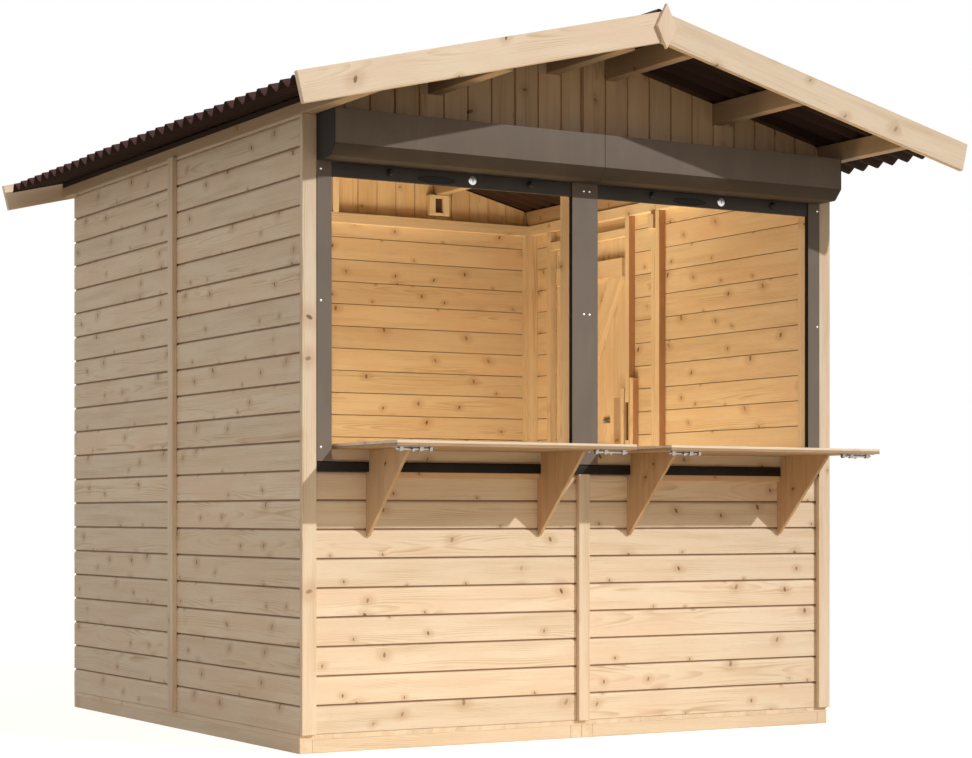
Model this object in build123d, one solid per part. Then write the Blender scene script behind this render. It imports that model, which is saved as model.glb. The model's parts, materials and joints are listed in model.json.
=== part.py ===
# Wooden market hut: boarded walls on a floor, two serving openings with rolled-up
# shutters, two counters, a door in the right wall and a low gable roof.
# Millimetres. X to the right seen from the front, Y to the back, Z up, ground at Z = 0.
# Origin under the middle of the roof.
import os
from math import atan2, cos, degrees, radians, sin, sqrt, tan

from build123d import *

os.makedirs("parts", exist_ok=True)

# ---- driving dimensions -------------------------------------------------------------
WIDTH = 2180.0                  # over the side walls
DEPTH = 2106.0                  # over the front and back walls
BEARER_H = 45.0                 # ground frame
BEARER_W = 45.0
JOIST_W = 45.0
DECK_T = 16.0                   # floor boards
WALL_TOP = 2083.0               # underside of the eaves purlins
CLAD_T = 19.0                   # wall boards
STUD_D = 32.0                   # frame timber, across the wall
STUD_W = 45.0                   # frame timber, along the wall
CORNER_W = 52.0                 # front corner boards
CORNER_T = 19.0
BATTEN_W = 45.0                 # cover strips over the panel joints
BATTEN_T = 19.0

ROOF_PITCH = 13.8               # degrees
EAVE_OVER = 215.0               # sheet past the side wall
EAVE_UNDER_Z = 2087.0           # underside of the sheets at the eaves edge
FRONT_OVER = 475.0              # sheets and purlins past the front wall
BACK_OVER = 149.0
SHEET_T = 3.0
WAVE_PITCH = 84.0
WAVE_RISE = 31.0                # crest to trough on the mid surface
SHEET_RIDGE_GAP = 6.0           # between the two slopes at the ridge
SHEET_END_GAP = 4.0             # sheets short of the bargeboards
PURLIN_W = 45.0
PURLIN_H = 70.0
MID_PURLIN_X = 588.0            # ridge to the middle of the mid purlin
TOP_PURLIN_X = 119.0            # ridge to the middle of the upper purlin
PURLIN_FIT = 0.5                # room round a purlin in its gable notch
CAP_WING = 170.0                # ridge cap, each side
CAP_ROLL_R = 24.0
CAP_T = 3.0

BARGE_W = 100.0
BARGE_T = 20.0
BARGE_PAST = 33.0               # bargeboard past the sheet at the eaves
BARGE_ABOVE = 1.5               # bargeboard above the wave crests
ARROW_T = 20.0
ARROW_UP = 77.0
ARROW_DOWN = 74.0
ARROW_TIP = 44.0
ARROW_BACK = 52.0

SILL_TOP = 994.0                # front wall top, underside of the counters
RAIL_W = 53.0
RAIL_T = 22.0
RAIL_GROOVE_W = 12.0
RAIL_GROOVE_D = 24.0
RAIL_WALL = 2.0
RAIL_BOTTOM = 954.0
TRIM_H = 33.0
TRIM_T = 22.0
BOX_DEPTH = 150.0
BOX_TOP = 2087.0
BOX_BOTTOM = 1935.0
BOX_CHAMFER = 38.0
BOX_JOINT = 1.0
BOX_SHELL = 2.0
SLAT_H = 49.0
SLAT_T = 11.0
SLAT_IN_GROOVE = 16.0
POST_W = 46.0                   # jambs beside the openings
MULLION_W = 90.0
MULLION_D = 70.0
HEAD_H = 180.0

COUNTER_T = 18.0
COUNTER_OUT = 446.0             # front edge from the front wall
COUNTER_IN = 51.0               # over the sill
COUNTER_SIDE = 16.0             # beside the rails
BRACKET_T = 12.0
BRACKET_OUT = 287.0
BRACKET_DOWN = 287.0
BRACKET_NOSE = 9.0
BRACKET_SET = 121.0             # counter end to the left bracket
BRACKET_SET_R = 101.0           # counter end to the right bracket
STRETCH_H = 20.0
STRETCH_T = 18.0

DOOR_BESIDE = 222.0             # wall between the panel joint and the doorway
DOORWAY_W = 596.0
DOOR_PAST = 235.0               # wall between the doorway and the back corner
DOOR_TOP = 1965.0
LEAF_T = 19.0
LEAF_GAP_HINGE = 6.0
LEAF_GAP_LOCK = 9.0
LEAF_GAP_TOP = 6.0
LEAF_GAP_FLOOR = 8.0
LEDGE_H = 80.0
LEDGE_T = 22.0
LEDGE_IN = 30.0                 # ledges short of the leaf edges
LEDGE_LOW = 110.0               # lower ledge above the leaf bottom
LEDGE_HIGH = 88.0               # upper ledge below the leaf top
BRACE_W = 80.0
LOCK_POST_W = 30.0
LOCK_POST_T = 45.0
LOCK_POST_H = 420.0
LOCK_POST_Z = 940.0
HINGE_OUT = 10.0                # pin from the wall face
HINGE_BACK = 3.0                # pin behind the leaf edge
HINGE_T = 3.0
PIN_R = 4.0
PIN_PAST = 4.0
EYE_R = 8.0
EYE_H = 30.0
EYE_GAP = 0.3                   # running room round the pin
ARM_R = 7.0
PLATE_L = 42.0
PLATE_H = 30.0
STRAP_L = 320.0
STRAP_LUG = 16.0
HINGE_LOW = 150.0               # above the leaf bottom
HINGE_HIGH = 180.0              # below the leaf top

# ---- derived places -----------------------------------------------------------------
ROOF_FRONT_T = BARGE_T + ARROW_T
BOX_Y0 = -(FRONT_OVER + ROOF_FRONT_T)           # front wall frame: Y = 0 at the front boards
BOX_Y1 = DEPTH + BACK_OVER + ROOF_FRONT_T
YF = -(BOX_Y0 + BOX_Y1) / 2                     # front boards in the part frame
YB = YF + DEPTH
XL = -WIDTH / 2
XR = WIDTH / 2
DECK_TOP = BEARER_H + DECK_T
IN_L = XL + CLAD_T
IN_R = XR - CLAD_T
JOINT_Y = YF + DEPTH / 2
SLOPE = tan(radians(ROOF_PITCH))
COSP = cos(radians(ROOF_PITCH))
SINP = sin(radians(ROOF_PITCH))
UNDER_RIDGE = EAVE_UNDER_Z + (WIDTH / 2 + EAVE_OVER) * SLOPE
CREST_RISE = (WAVE_RISE + SHEET_T) / COSP
SHEET_Y0 = YF - FRONT_OVER
SHEET_Y1 = YB + BACK_OVER
RUN = SHEET_Y1 - SHEET_Y0


def under(x):
    """Height of the underside of the sheets."""
    return UNDER_RIDGE - abs(x) * SLOPE


def block(x0, x1, y0, y1, z0, z1):
    return Pos((x0 + x1) / 2, (y0 + y1) / 2, (z0 + z1) / 2) * Box(x1 - x0, y1 - y0, z1 - z0)


def prism_y(points, y0, y1):
    """Outline in X and Z, drawn out from y0 to y1."""
    face = make_face(Polyline(*[(x, y0, z) for x, z in points], close=True))
    return extrude(face, amount=y1 - y0, dir=(0, 1, 0))


def prism_x(points, x0, x1):
    """Outline in Y and Z, drawn out from x0 to x1."""
    face = make_face(Polyline(*[(x0, y, z) for y, z in points], close=True))
    return extrude(face, amount=x1 - x0, dir=(1, 0, 0))


def save(name, solid):
    solids = solid.solids()
    assert len(solids) == 1, (name, len(solids))
    shape = solids[0]
    shape.label = name
    export_step(shape, os.path.join("parts", name + ".step"))


# ---- ground frame and floor ---------------------------------------------------------
def base_frame():
    """Two floor frames side by side, each of bearers with joists across."""
    frame = block(XL, XR, YF, YB, 0, BEARER_H)
    bays = 3
    bay = (DEPTH - 2 * BEARER_W - (bays - 1) * JOIST_W) / bays
    for x0, x1 in ((XL + BEARER_W, -BEARER_W), (BEARER_W, XR - BEARER_W)):
        for i in range(bays):
            y0 = YF + BEARER_W + i * (bay + JOIST_W)
            frame -= block(x0, x1, y0, y0 + bay, 0, BEARER_H)
    return frame


save("base_frame", base_frame())
save("floor", block(XL, XR, YF, YB, BEARER_H, DECK_TOP))


# ---- side and back walls: boards on a timber frame ----------------------------------
def frame_y(x0, x1, y0, y1, z0, z1):
    """Upright timber frame of a side wall panel."""
    ring = block(x0, x1, y0, y1, z0, z1)
    return ring - block(x0, x1, y0 + STUD_W, y1 - STUD_W, z0 + STUD_W, z1 - STUD_W)


def frame_x(x0, x1, y0, y1, z0, z1):
    ring = block(x0, x1, y0, y1, z0, z1)
    return ring - block(x0 + STUD_W, x1 - STUD_W, y0, y1, z0 + STUD_W, z1 - STUD_W)


FRAME_F = YF + CLAD_T + STUD_D          # inner face of the front frame
FRAME_B = YB - CLAD_T - STUD_D

left_front = block(XL, IN_L, YF, JOINT_Y, DECK_TOP, WALL_TOP)
left_front += frame_y(IN_L, IN_L + STUD_D, FRAME_F, JOINT_Y, DECK_TOP, WALL_TOP)
save("left_wall_front", left_front)

left_back = block(XL, IN_L, JOINT_Y, YB, DECK_TOP, WALL_TOP)
left_back += frame_y(IN_L, IN_L + STUD_D, JOINT_Y, FRAME_B, DECK_TOP, WALL_TOP)
left_back += block(XL - BATTEN_T, XL, JOINT_Y - BATTEN_W / 2, JOINT_Y + BATTEN_W / 2, DECK_TOP, WALL_TOP)
save("left_wall_back", left_back)

JOINT_R = YB - DOOR_PAST - DOORWAY_W - DOOR_BESIDE
right_front = block(IN_R, XR, YF, JOINT_R, DECK_TOP, WALL_TOP)
right_front += frame_y(IN_R - STUD_D, IN_R, FRAME_F, JOINT_R, DECK_TOP, WALL_TOP)
save("right_wall_front", right_front)

DY0 = JOINT_R + DOOR_BESIDE
DY1 = DY0 + DOORWAY_W
near_door = block(IN_R, XR, JOINT_R, DY0, DECK_TOP, WALL_TOP)
near_door += frame_y(IN_R - STUD_D, IN_R, JOINT_R, DY0, DECK_TOP, WALL_TOP)
near_door += block(XR, XR + BATTEN_T, JOINT_R - BATTEN_W / 2, JOINT_R + BATTEN_W / 2, DECK_TOP, WALL_TOP)
POST_Y1 = DY0 - LEAF_GAP_LOCK
near_door += block(IN_R - STUD_D - LOCK_POST_W, IN_R - STUD_D, POST_Y1 - LOCK_POST_T, POST_Y1,
                   LOCK_POST_Z, LOCK_POST_Z + LOCK_POST_H)
save("right_wall_lock_side", near_door)

past_door = block(IN_R, XR, DY1, YB, DECK_TOP, WALL_TOP)
past_door += frame_y(IN_R - STUD_D, IN_R, DY1, FRAME_B, DECK_TOP, WALL_TOP)
save("right_wall_hinge_side", past_door)

over_door = block(IN_R, XR, DY0, DY1, DOOR_TOP, WALL_TOP)
over_door += frame_y(IN_R - STUD_D, IN_R, DY0, DY1, DOOR_TOP - CLAD_T, WALL_TOP) - block(
    IN_R - STUD_D, IN_R, DY0, DY1, DOOR_TOP - CLAD_T, DOOR_TOP
)
save("right_wall_over_door", over_door)

back_left = block(IN_L, 0, YB - CLAD_T, YB, DECK_TOP, WALL_TOP)
back_left += frame_x(IN_L, 0, FRAME_B, YB - CLAD_T, DECK_TOP, WALL_TOP)
save("back_wall_left", back_left)

back_right = block(0, IN_R, YB - CLAD_T, YB, DECK_TOP, WALL_TOP)
back_right += frame_x(0, IN_R, FRAME_B, YB - CLAD_T, DECK_TOP, WALL_TOP)
back_right += block(-BATTEN_W / 2, BATTEN_W / 2, YB, YB + BATTEN_T, DECK_TOP, WALL_TOP)
save("back_wall_right", back_right)


def corner_board(x0):
    return block(x0, x0 + CORNER_W, YF - CORNER_T, YF, DECK_TOP, WALL_TOP)


# ---- front wall ---------------------------------------------------------------------
TRIM_TOP = RAIL_BOTTOM
TRIM_BOTTOM = RAIL_BOTTOM - TRIM_H
front_left = block(IN_L, 0, YF, YF + CLAD_T, DECK_TOP, SILL_TOP)
front_left += frame_x(IN_L, 0, YF + CLAD_T, FRAME_F, DECK_TOP, SILL_TOP)
front_left += corner_board(XL)
save("front_wall_left", front_left)

front_right = block(0, IN_R, YF, YF + CLAD_T, DECK_TOP, SILL_TOP)
front_right += frame_x(0, IN_R, YF + CLAD_T, FRAME_F, DECK_TOP, SILL_TOP)
front_right += block(-BATTEN_W / 2, BATTEN_W / 2, YF - BATTEN_T, YF, DECK_TOP, TRIM_BOTTOM)
front_right += corner_board(XR - CORNER_W)
save("front_wall_right", front_right)

head = block(IN_L, IN_R, YF, FRAME_F, WALL_TOP - HEAD_H, WALL_TOP)
head += block(IN_L, IN_L + POST_W + STUD_D, YF, FRAME_F, SILL_TOP, WALL_TOP - HEAD_H)
head += block(IN_R - POST_W - STUD_D, IN_R, YF, FRAME_F, SILL_TOP, WALL_TOP - HEAD_H)
head += block(-MULLION_W / 2, MULLION_W / 2, YF, YF + MULLION_D, SILL_TOP, WALL_TOP - HEAD_H)
save("opening_frame", head)

# ---- roof timbers -------------------------------------------------------------------
EAVE_X = XR - PURLIN_W


def eave_outline():
    return [
        (EAVE_X, WALL_TOP), (XR, WALL_TOP), (XR, under(XR)), (EAVE_X, under(EAVE_X)),
    ]


def upright_outline(mid, grow=0.0):
    """Purlin standing upright, its top sawn to the slope, against the sheets."""
    x0 = mid - PURLIN_W / 2 - grow
    x1 = mid + PURLIN_W / 2 + grow
    foot = under(mid) - PURLIN_H - grow
    return [(x0, foot), (x1, foot), (x1, under(x1) + grow), (x0, under(x0) + grow)]


def mirrored(points):
    return [(-x, z) for x, z in points]


for name, outline in (
    ("eave", eave_outline()),
    ("mid", upright_outline(MID_PURLIN_X)),
    ("upper", upright_outline(TOP_PURLIN_X)),
):
    save("purlin_" + name + "_right", prism_y(outline, SHEET_Y0, SHEET_Y1))
    save("purlin_" + name + "_left", prism_y(mirrored(outline), SHEET_Y0, SHEET_Y1))


# ---- gables -------------------------------------------------------------------------
def gable(y0, y1):
    points = [(-EAVE_X, WALL_TOP), (EAVE_X, WALL_TOP), (EAVE_X, under(EAVE_X)), (0, UNDER_RIDGE)]
    points.append((-EAVE_X, under(EAVE_X)))
    wall = prism_y(points, y0, y1)
    for mid in (MID_PURLIN_X, TOP_PURLIN_X):
        notch = upright_outline(mid, PURLIN_FIT)
        wall -= prism_y(notch, y0, y1)
        wall -= prism_y(mirrored(notch), y0, y1)
    return wall


save("gable_front", gable(YF, YF + CLAD_T))
save("gable_back", gable(YB - CLAD_T, YB))


# ---- corrugated sheets: waves of equal arcs, running down the slope -----------------
def wave_section(length):
    """Closed outline across the waves, u along the eaves, v square to the sheet."""
    quarter = WAVE_PITCH / 4
    turn = 2 * atan2(WAVE_RISE / 2, quarter)
    radius = quarter / sin(turn)
    halves = int(length // (WAVE_PITCH / 2))
    u0 = (length - halves * WAVE_PITCH / 2) / 2
    mid_v = SHEET_T / 2 + WAVE_RISE / 2
    dev = radius * cos(turn)
    edges = []
    ends = []
    for face in (-1, 1):
        joins = []
        mids = []
        for i in range(halves + 1):
            lean = turn if i % 2 == 0 else -turn
            off = face * SHEET_T / 2
            joins.append((u0 + i * WAVE_PITCH / 2 - off * sin(lean), mid_v + off * cos(lean)))
        for i in range(halves):
            up = 1 if i % 2 == 0 else -1
            centre = mid_v - up * dev
            reach = radius + up * face * SHEET_T / 2
            mids.append((u0 + (i + 0.5) * WAVE_PITCH / 2, centre + up * reach))
        for i in range(halves):
            edges.append((joins[i], mids[i], joins[i + 1]))
        ends.append((joins[0], joins[-1]))
    return edges, ends


def slope_sheet(side):
    edges, ends = wave_section(RUN - 2 * SHEET_END_GAP)
    low = WIDTH / 2 + EAVE_OVER
    length = (low - SHEET_RIDGE_GAP / 2) / COSP
    foot = Vector(side * low, 0, EAVE_UNDER_Z)
    up_slope = Vector(-side * COSP, 0, SINP)
    square = Vector(side * SINP, 0, COSP)

    def at(point):
        u, v = point
        return foot + square * v + Vector(0, SHEET_Y0 + SHEET_END_GAP + u, 0)

    lines = [ThreePointArc(at(a), at(b), at(c)) for a, b, c in edges]
    lines.append(Line(at(ends[0][0]), at(ends[1][0])))
    lines.append(Line(at(ends[0][1]), at(ends[1][1])))
    face = make_face(lines)
    return extrude(face, amount=length, dir=up_slope)


save("roof_sheet_left", slope_sheet(-1))
save("roof_sheet_right", slope_sheet(1))


# ---- ridge cap ----------------------------------------------------------------------
def ridge_cap():
    base = UNDER_RIDGE + CREST_RISE
    wing_x = CAP_WING * COSP
    rise = CAP_T / COSP
    outer = prism_y([(-wing_x, base - wing_x * SLOPE), (0, base), (wing_x, base - wing_x * SLOPE),
                     (wing_x, base - wing_x * SLOPE + rise), (0, base + rise),
                     (-wing_x, base - wing_x * SLOPE + rise)], SHEET_Y0, SHEET_Y1)
    tube_mid = Pos(0, (SHEET_Y0 + SHEET_Y1) / 2, base) * Rot(90, 0, 0)
    roll = tube_mid * Cylinder(CAP_ROLL_R, RUN)
    bore = tube_mid * Cylinder(CAP_ROLL_R - CAP_T, RUN)
    under_cap = prism_y([(-wing_x, base - wing_x * SLOPE), (0, base), (wing_x, base - wing_x * SLOPE),
                         (wing_x, base - wing_x), (-wing_x, base - wing_x)], SHEET_Y0, SHEET_Y1)
    return outer + roll - bore - under_cap


save("ridge_cap", ridge_cap())

# ---- bargeboards --------------------------------------------------------------------
BARGE_TOP = UNDER_RIDGE + CREST_RISE + BARGE_ABOVE
BARGE_END = WIDTH / 2 + EAVE_OVER + BARGE_PAST


def barge_outline():
    end_top = (BARGE_END, BARGE_TOP - BARGE_END * SLOPE)
    end_low = (end_top[0] - BARGE_W * SINP, end_top[1] - BARGE_W * COSP)
    return [(0, BARGE_TOP - BARGE_W / COSP), end_low, end_top, (0, BARGE_TOP)]


def arrow_outline():
    mid = BARGE_TOP - BARGE_W / COSP / 2
    return [(0, mid - ARROW_DOWN), (ARROW_BACK, mid), (0, mid + ARROW_UP), (-ARROW_TIP, mid)]


for end, y0, y1, a0 in (
    ("front", SHEET_Y0 - BARGE_T, SHEET_Y0, SHEET_Y0 - BARGE_T - ARROW_T),
    ("back", SHEET_Y1, SHEET_Y1 + BARGE_T, SHEET_Y1 + BARGE_T),
):
    save("bargeboard_" + end + "_left", prism_y(mirrored(barge_outline()), y0, y1))
    right = prism_y(barge_outline(), y0, y1)
    right += prism_y(arrow_outline(), a0, a0 + ARROW_T)
    save("bargeboard_" + end + "_right", right)

# ---- shutters -----------------------------------------------------------------------
RAIL_L0 = XL + CORNER_W
RAIL_R1 = XR - CORNER_W
GROOVE_Y0 = YF - RAIL_T + (RAIL_T - RAIL_GROOVE_W) / 2


def rail(x0, x1, open_left, open_right):
    bar = block(x0, x1, YF - RAIL_T, YF, RAIL_BOTTOM, BOX_BOTTOM)
    if open_left:
        bar -= block(x0, x0 + RAIL_GROOVE_D, GROOVE_Y0, GROOVE_Y0 + RAIL_GROOVE_W, RAIL_BOTTOM, BOX_BOTTOM)
    if open_right:
        bar -= block(x1 - RAIL_GROOVE_D, x1, GROOVE_Y0, GROOVE_Y0 + RAIL_GROOVE_W, RAIL_BOTTOM, BOX_BOTTOM)
    return bar


save("guide_rail_left", rail(RAIL_L0, RAIL_L0 + RAIL_W, False, True))
save("guide_rail_middle", rail(-RAIL_W, RAIL_W, True, True))
save("guide_rail_right", rail(RAIL_R1 - RAIL_W, RAIL_R1, True, False))
save("sill_trim", block(RAIL_L0, RAIL_R1, YF - TRIM_T, YF, TRIM_BOTTOM, TRIM_TOP))

BOX_OUTLINE = [
    (YF, BOX_BOTTOM), (YF - BOX_DEPTH + BOX_CHAMFER, BOX_BOTTOM), (YF - BOX_DEPTH, BOX_BOTTOM + BOX_CHAMFER),
    (YF - BOX_DEPTH, BOX_TOP), (YF, BOX_TOP),
]
OPEN_L = (RAIL_L0 + RAIL_W, -RAIL_W)
OPEN_R = (RAIL_W, RAIL_R1 - RAIL_W)
SLAT_GAP = (RAIL_GROOVE_W - SLAT_T) / 2
for side, x0, x1, opening in (
    ("left", RAIL_L0, -BOX_JOINT / 2, OPEN_L),
    ("right", BOX_JOINT / 2, RAIL_R1, OPEN_R),
):
    save("shutter_box_" + side, prism_x(BOX_OUTLINE, x0, x1))
    slat = block(opening[0] - SLAT_IN_GROOVE, opening[1] + SLAT_IN_GROOVE,
                 GROOVE_Y0 + SLAT_GAP, GROOVE_Y0 + SLAT_GAP + SLAT_T, BOX_BOTTOM - SLAT_H, BOX_BOTTOM)
    save("end_slat_" + side, slat)

# ---- counters -----------------------------------------------------------------------
BRACKET = [
    (YF, SILL_TOP - BRACKET_DOWN), (YF - BRACKET_NOSE, SILL_TOP - BRACKET_DOWN),
    (YF - BRACKET_OUT, SILL_TOP - BRACKET_NOSE), (YF - BRACKET_OUT, SILL_TOP),
    (YF - RAIL_T, SILL_TOP), (YF - RAIL_T, TRIM_BOTTOM), (YF, TRIM_BOTTOM),
]
for side, opening in (("left", OPEN_L), ("right", OPEN_R)):
    x0 = opening[0] + COUNTER_SIDE
    x1 = opening[1] - COUNTER_SIDE
    shelf = block(x0, x1, YF - COUNTER_OUT, YF, SILL_TOP, SILL_TOP + COUNTER_T)
    in0 = max(x0, IN_L + POST_W + STUD_D + COUNTER_SIDE) if side == "left" else x0
    in1 = x1 if side == "left" else min(x1, IN_R - POST_W - STUD_D - COUNTER_SIDE)
    shelf += block(in0, in1, YF, YF + COUNTER_IN, SILL_TOP, SILL_TOP + COUNTER_T)
    save("counter_" + side, shelf)
    b0 = x0 + BRACKET_SET
    b1 = x1 - BRACKET_SET_R
    support = prism_x(BRACKET, b0, b0 + BRACKET_T) + prism_x(BRACKET, b1 - BRACKET_T, b1)
    support += block(b0 + BRACKET_T, b1 - BRACKET_T, YF - STRETCH_T, YF, TRIM_BOTTOM - STRETCH_H, TRIM_BOTTOM)
    save("counter_support_" + side, support)

# ---- door ---------------------------------------------------------------------------
LEAF_Y0 = DY0 + LEAF_GAP_LOCK
LEAF_Y1 = DY1 - LEAF_GAP_HINGE
LEAF_Z0 = DECK_TOP + LEAF_GAP_FLOOR
LEAF_Z1 = DOOR_TOP - LEAF_GAP_TOP


def door_leaf():
    leaf = block(XR - LEAF_T, XR, LEAF_Y0, LEAF_Y1, LEAF_Z0, LEAF_Z1)
    x0 = XR - LEAF_T - LEDGE_T
    x1 = XR - LEAF_T
    y0 = LEAF_Y0 + LEDGE_IN
    y1 = LEAF_Y1 - LEDGE_IN
    low = LEAF_Z0 + LEDGE_LOW
    high = LEAF_Z1 - LEDGE_HIGH - LEDGE_H
    middle = (low + high) / 2
    for z0 in (low, middle, high):
        leaf += block(x0, x1, y0, y1, z0, z0 + LEDGE_H)
    for z0 in (low + LEDGE_H, middle + LEDGE_H):
        z1 = z0 + middle - low - LEDGE_H
        span = sqrt((y1 - y0) ** 2 + (z1 - z0) ** 2)
        foot = BRACE_W * span / (z1 - z0)
        leaf += prism_x([(y1 - foot, z0), (y1, z0), (y0 + foot, z1), (y0, z1)], x0, x1)
    return leaf


save("door_leaf", door_leaf())

# ---- door hinges: pins on the wall, strap and eye on the leaf -----------------------
HINGE_X = XR + HINGE_OUT
HINGE_Y = LEAF_Y1 + HINGE_BACK
BASE_H = EYE_R + HINGE_T


def wall_pin(z):
    plate = block(XR, XR + HINGE_T, HINGE_Y + EYE_R + HINGE_T, HINGE_Y + PLATE_L, z - PLATE_H, z + EYE_H)
    arm = block(XR, HINGE_X + ARM_R, HINGE_Y, HINGE_Y + PLATE_L, z - BASE_H, z)
    foot = Pos(HINGE_X, HINGE_Y, z - BASE_H / 2) * Cylinder(ARM_R, BASE_H)
    pin = Pos(HINGE_X, HINGE_Y, z + (EYE_H + PIN_PAST) / 2) * Cylinder(PIN_R, EYE_H + PIN_PAST)
    return plate + arm + foot + pin


def door_strap(z):
    z0 = z + EYE_GAP
    z1 = z0 + EYE_H
    strap = block(XR, XR + HINGE_T, HINGE_Y - STRAP_L, LEAF_Y1 - HINGE_T, z0, z1)
    lug = block(XR, HINGE_X, HINGE_Y - STRAP_LUG, LEAF_Y1, z0, z1)
    eye = Pos(HINGE_X, HINGE_Y, (z0 + z1) / 2) * Cylinder(EYE_R, EYE_H)
    bore = Pos(HINGE_X, HINGE_Y, (z0 + z1) / 2) * Cylinder(PIN_R + EYE_GAP, EYE_H)
    return strap + lug + eye - bore


for end, z in (("lower", LEAF_Z0 + HINGE_LOW), ("upper", LEAF_Z1 - HINGE_HIGH)):
    save("hinge_pin_" + end, wall_pin(z))
    save("hinge_strap_" + end, door_strap(z))

print("front face Y", round(YF, 2), "doorway Y", round(DY0, 2), round(DY1, 2))
print("hinge", round(HINGE_X, 2), round(HINGE_Y, 2), "leaf", round(LEAF_Y0, 2), round(LEAF_Y1, 2), LEAF_Z0, LEAF_Z1)
print("ridge under", round(UNDER_RIDGE, 2), "barge top", round(BARGE_TOP, 2), "end", BARGE_END)
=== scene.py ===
import json
import math
import random

import bmesh
import bpy
from mathutils import Matrix, Vector

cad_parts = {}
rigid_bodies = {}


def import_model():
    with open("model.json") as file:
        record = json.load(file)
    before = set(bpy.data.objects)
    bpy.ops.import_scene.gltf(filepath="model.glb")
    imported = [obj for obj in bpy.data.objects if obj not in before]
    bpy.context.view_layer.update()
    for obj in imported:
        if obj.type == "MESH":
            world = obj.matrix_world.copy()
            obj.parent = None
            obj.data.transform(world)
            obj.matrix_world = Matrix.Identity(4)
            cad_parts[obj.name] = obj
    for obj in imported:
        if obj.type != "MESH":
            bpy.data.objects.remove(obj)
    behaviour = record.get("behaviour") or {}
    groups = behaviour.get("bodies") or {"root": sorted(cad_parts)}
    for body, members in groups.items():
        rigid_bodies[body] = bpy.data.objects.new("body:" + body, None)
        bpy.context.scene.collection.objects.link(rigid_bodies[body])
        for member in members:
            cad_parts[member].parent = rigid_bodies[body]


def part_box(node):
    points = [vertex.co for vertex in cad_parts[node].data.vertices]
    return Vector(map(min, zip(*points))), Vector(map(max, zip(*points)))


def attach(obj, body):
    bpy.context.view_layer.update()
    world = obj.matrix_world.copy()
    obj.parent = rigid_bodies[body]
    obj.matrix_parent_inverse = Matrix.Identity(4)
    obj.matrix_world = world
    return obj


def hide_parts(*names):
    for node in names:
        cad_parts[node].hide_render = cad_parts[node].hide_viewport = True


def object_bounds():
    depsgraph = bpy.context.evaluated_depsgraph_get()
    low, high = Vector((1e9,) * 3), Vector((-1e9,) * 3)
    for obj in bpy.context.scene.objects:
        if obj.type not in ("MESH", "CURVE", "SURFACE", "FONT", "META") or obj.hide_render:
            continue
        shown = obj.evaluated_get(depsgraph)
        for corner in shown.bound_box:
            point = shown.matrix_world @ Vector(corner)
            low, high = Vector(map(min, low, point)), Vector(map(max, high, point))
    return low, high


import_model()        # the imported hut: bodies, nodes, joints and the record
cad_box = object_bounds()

scene = bpy.context.scene

# ---- camera -------------------------------------------------------------------------
# A long lens at chest height in front of the left corner, level, with the lens
# shifted up so that the posts and corners stay upright.
lens = bpy.data.cameras.new("camera")
lens.lens = 83.32
lens.sensor_width = 36.0
lens.shift_y = 0.1403
lens.clip_end = 200.0
camera = bpy.data.objects.new("camera", lens)
camera.location = (-4.267, -7.507, 0.777)
camera.rotation_euler = (math.radians(90.0), 0.0, math.radians(-30.381))
scene.collection.objects.link(camera)
scene.camera = camera


# ---- ground frame -------------------------------------------------------------------
# Two frames of planed spruce bearers stand side by side on the ground, joined in the
# middle. The long bearers run front to back, so their ends show in the front strip,
# and short bearers and joists are nailed between them.
def operator(operation, swapped=False):
    """A method that adds a Math node, its two inputs exchanged if swapped."""
    def method(self, other):
        first, second = (other, self) if swapped else (self, other)
        return self.math(operation, first, second)
    return method


class Value:
    """A socket whose operators add Math nodes to its graph."""

    def __init__(self, graph, socket):
        self.graph = graph
        self.socket = socket

    def out(self, name):
        return Value(self.graph, self.socket.node.outputs[name])

    def math(self, operation, first, second=0.0):
        return self.graph.add("ShaderNodeMath", {"operation": operation}, {0: first, 1: second})

    __add__, __radd__ = operator("ADD"), operator("ADD", swapped=True)
    __sub__, __rsub__ = operator("SUBTRACT"), operator("SUBTRACT", swapped=True)
    __mul__, __rmul__ = operator("MULTIPLY"), operator("MULTIPLY", swapped=True)
    __truediv__, __pow__ = operator("DIVIDE"), operator("POWER")
    least, most = operator("MINIMUM"), operator("MAXIMUM")

    def rest(self):
        return self.math("FRACT", self)

    def step(self, low, high):
        """Smooth step from 0 at low to 1 at high."""
        return self.graph.add("ShaderNodeMapRange", {"interpolation_type": "SMOOTHSTEP"},
                              {0: self, 1: low, 2: high, 3: 0.0, 4: 1.0})


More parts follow.
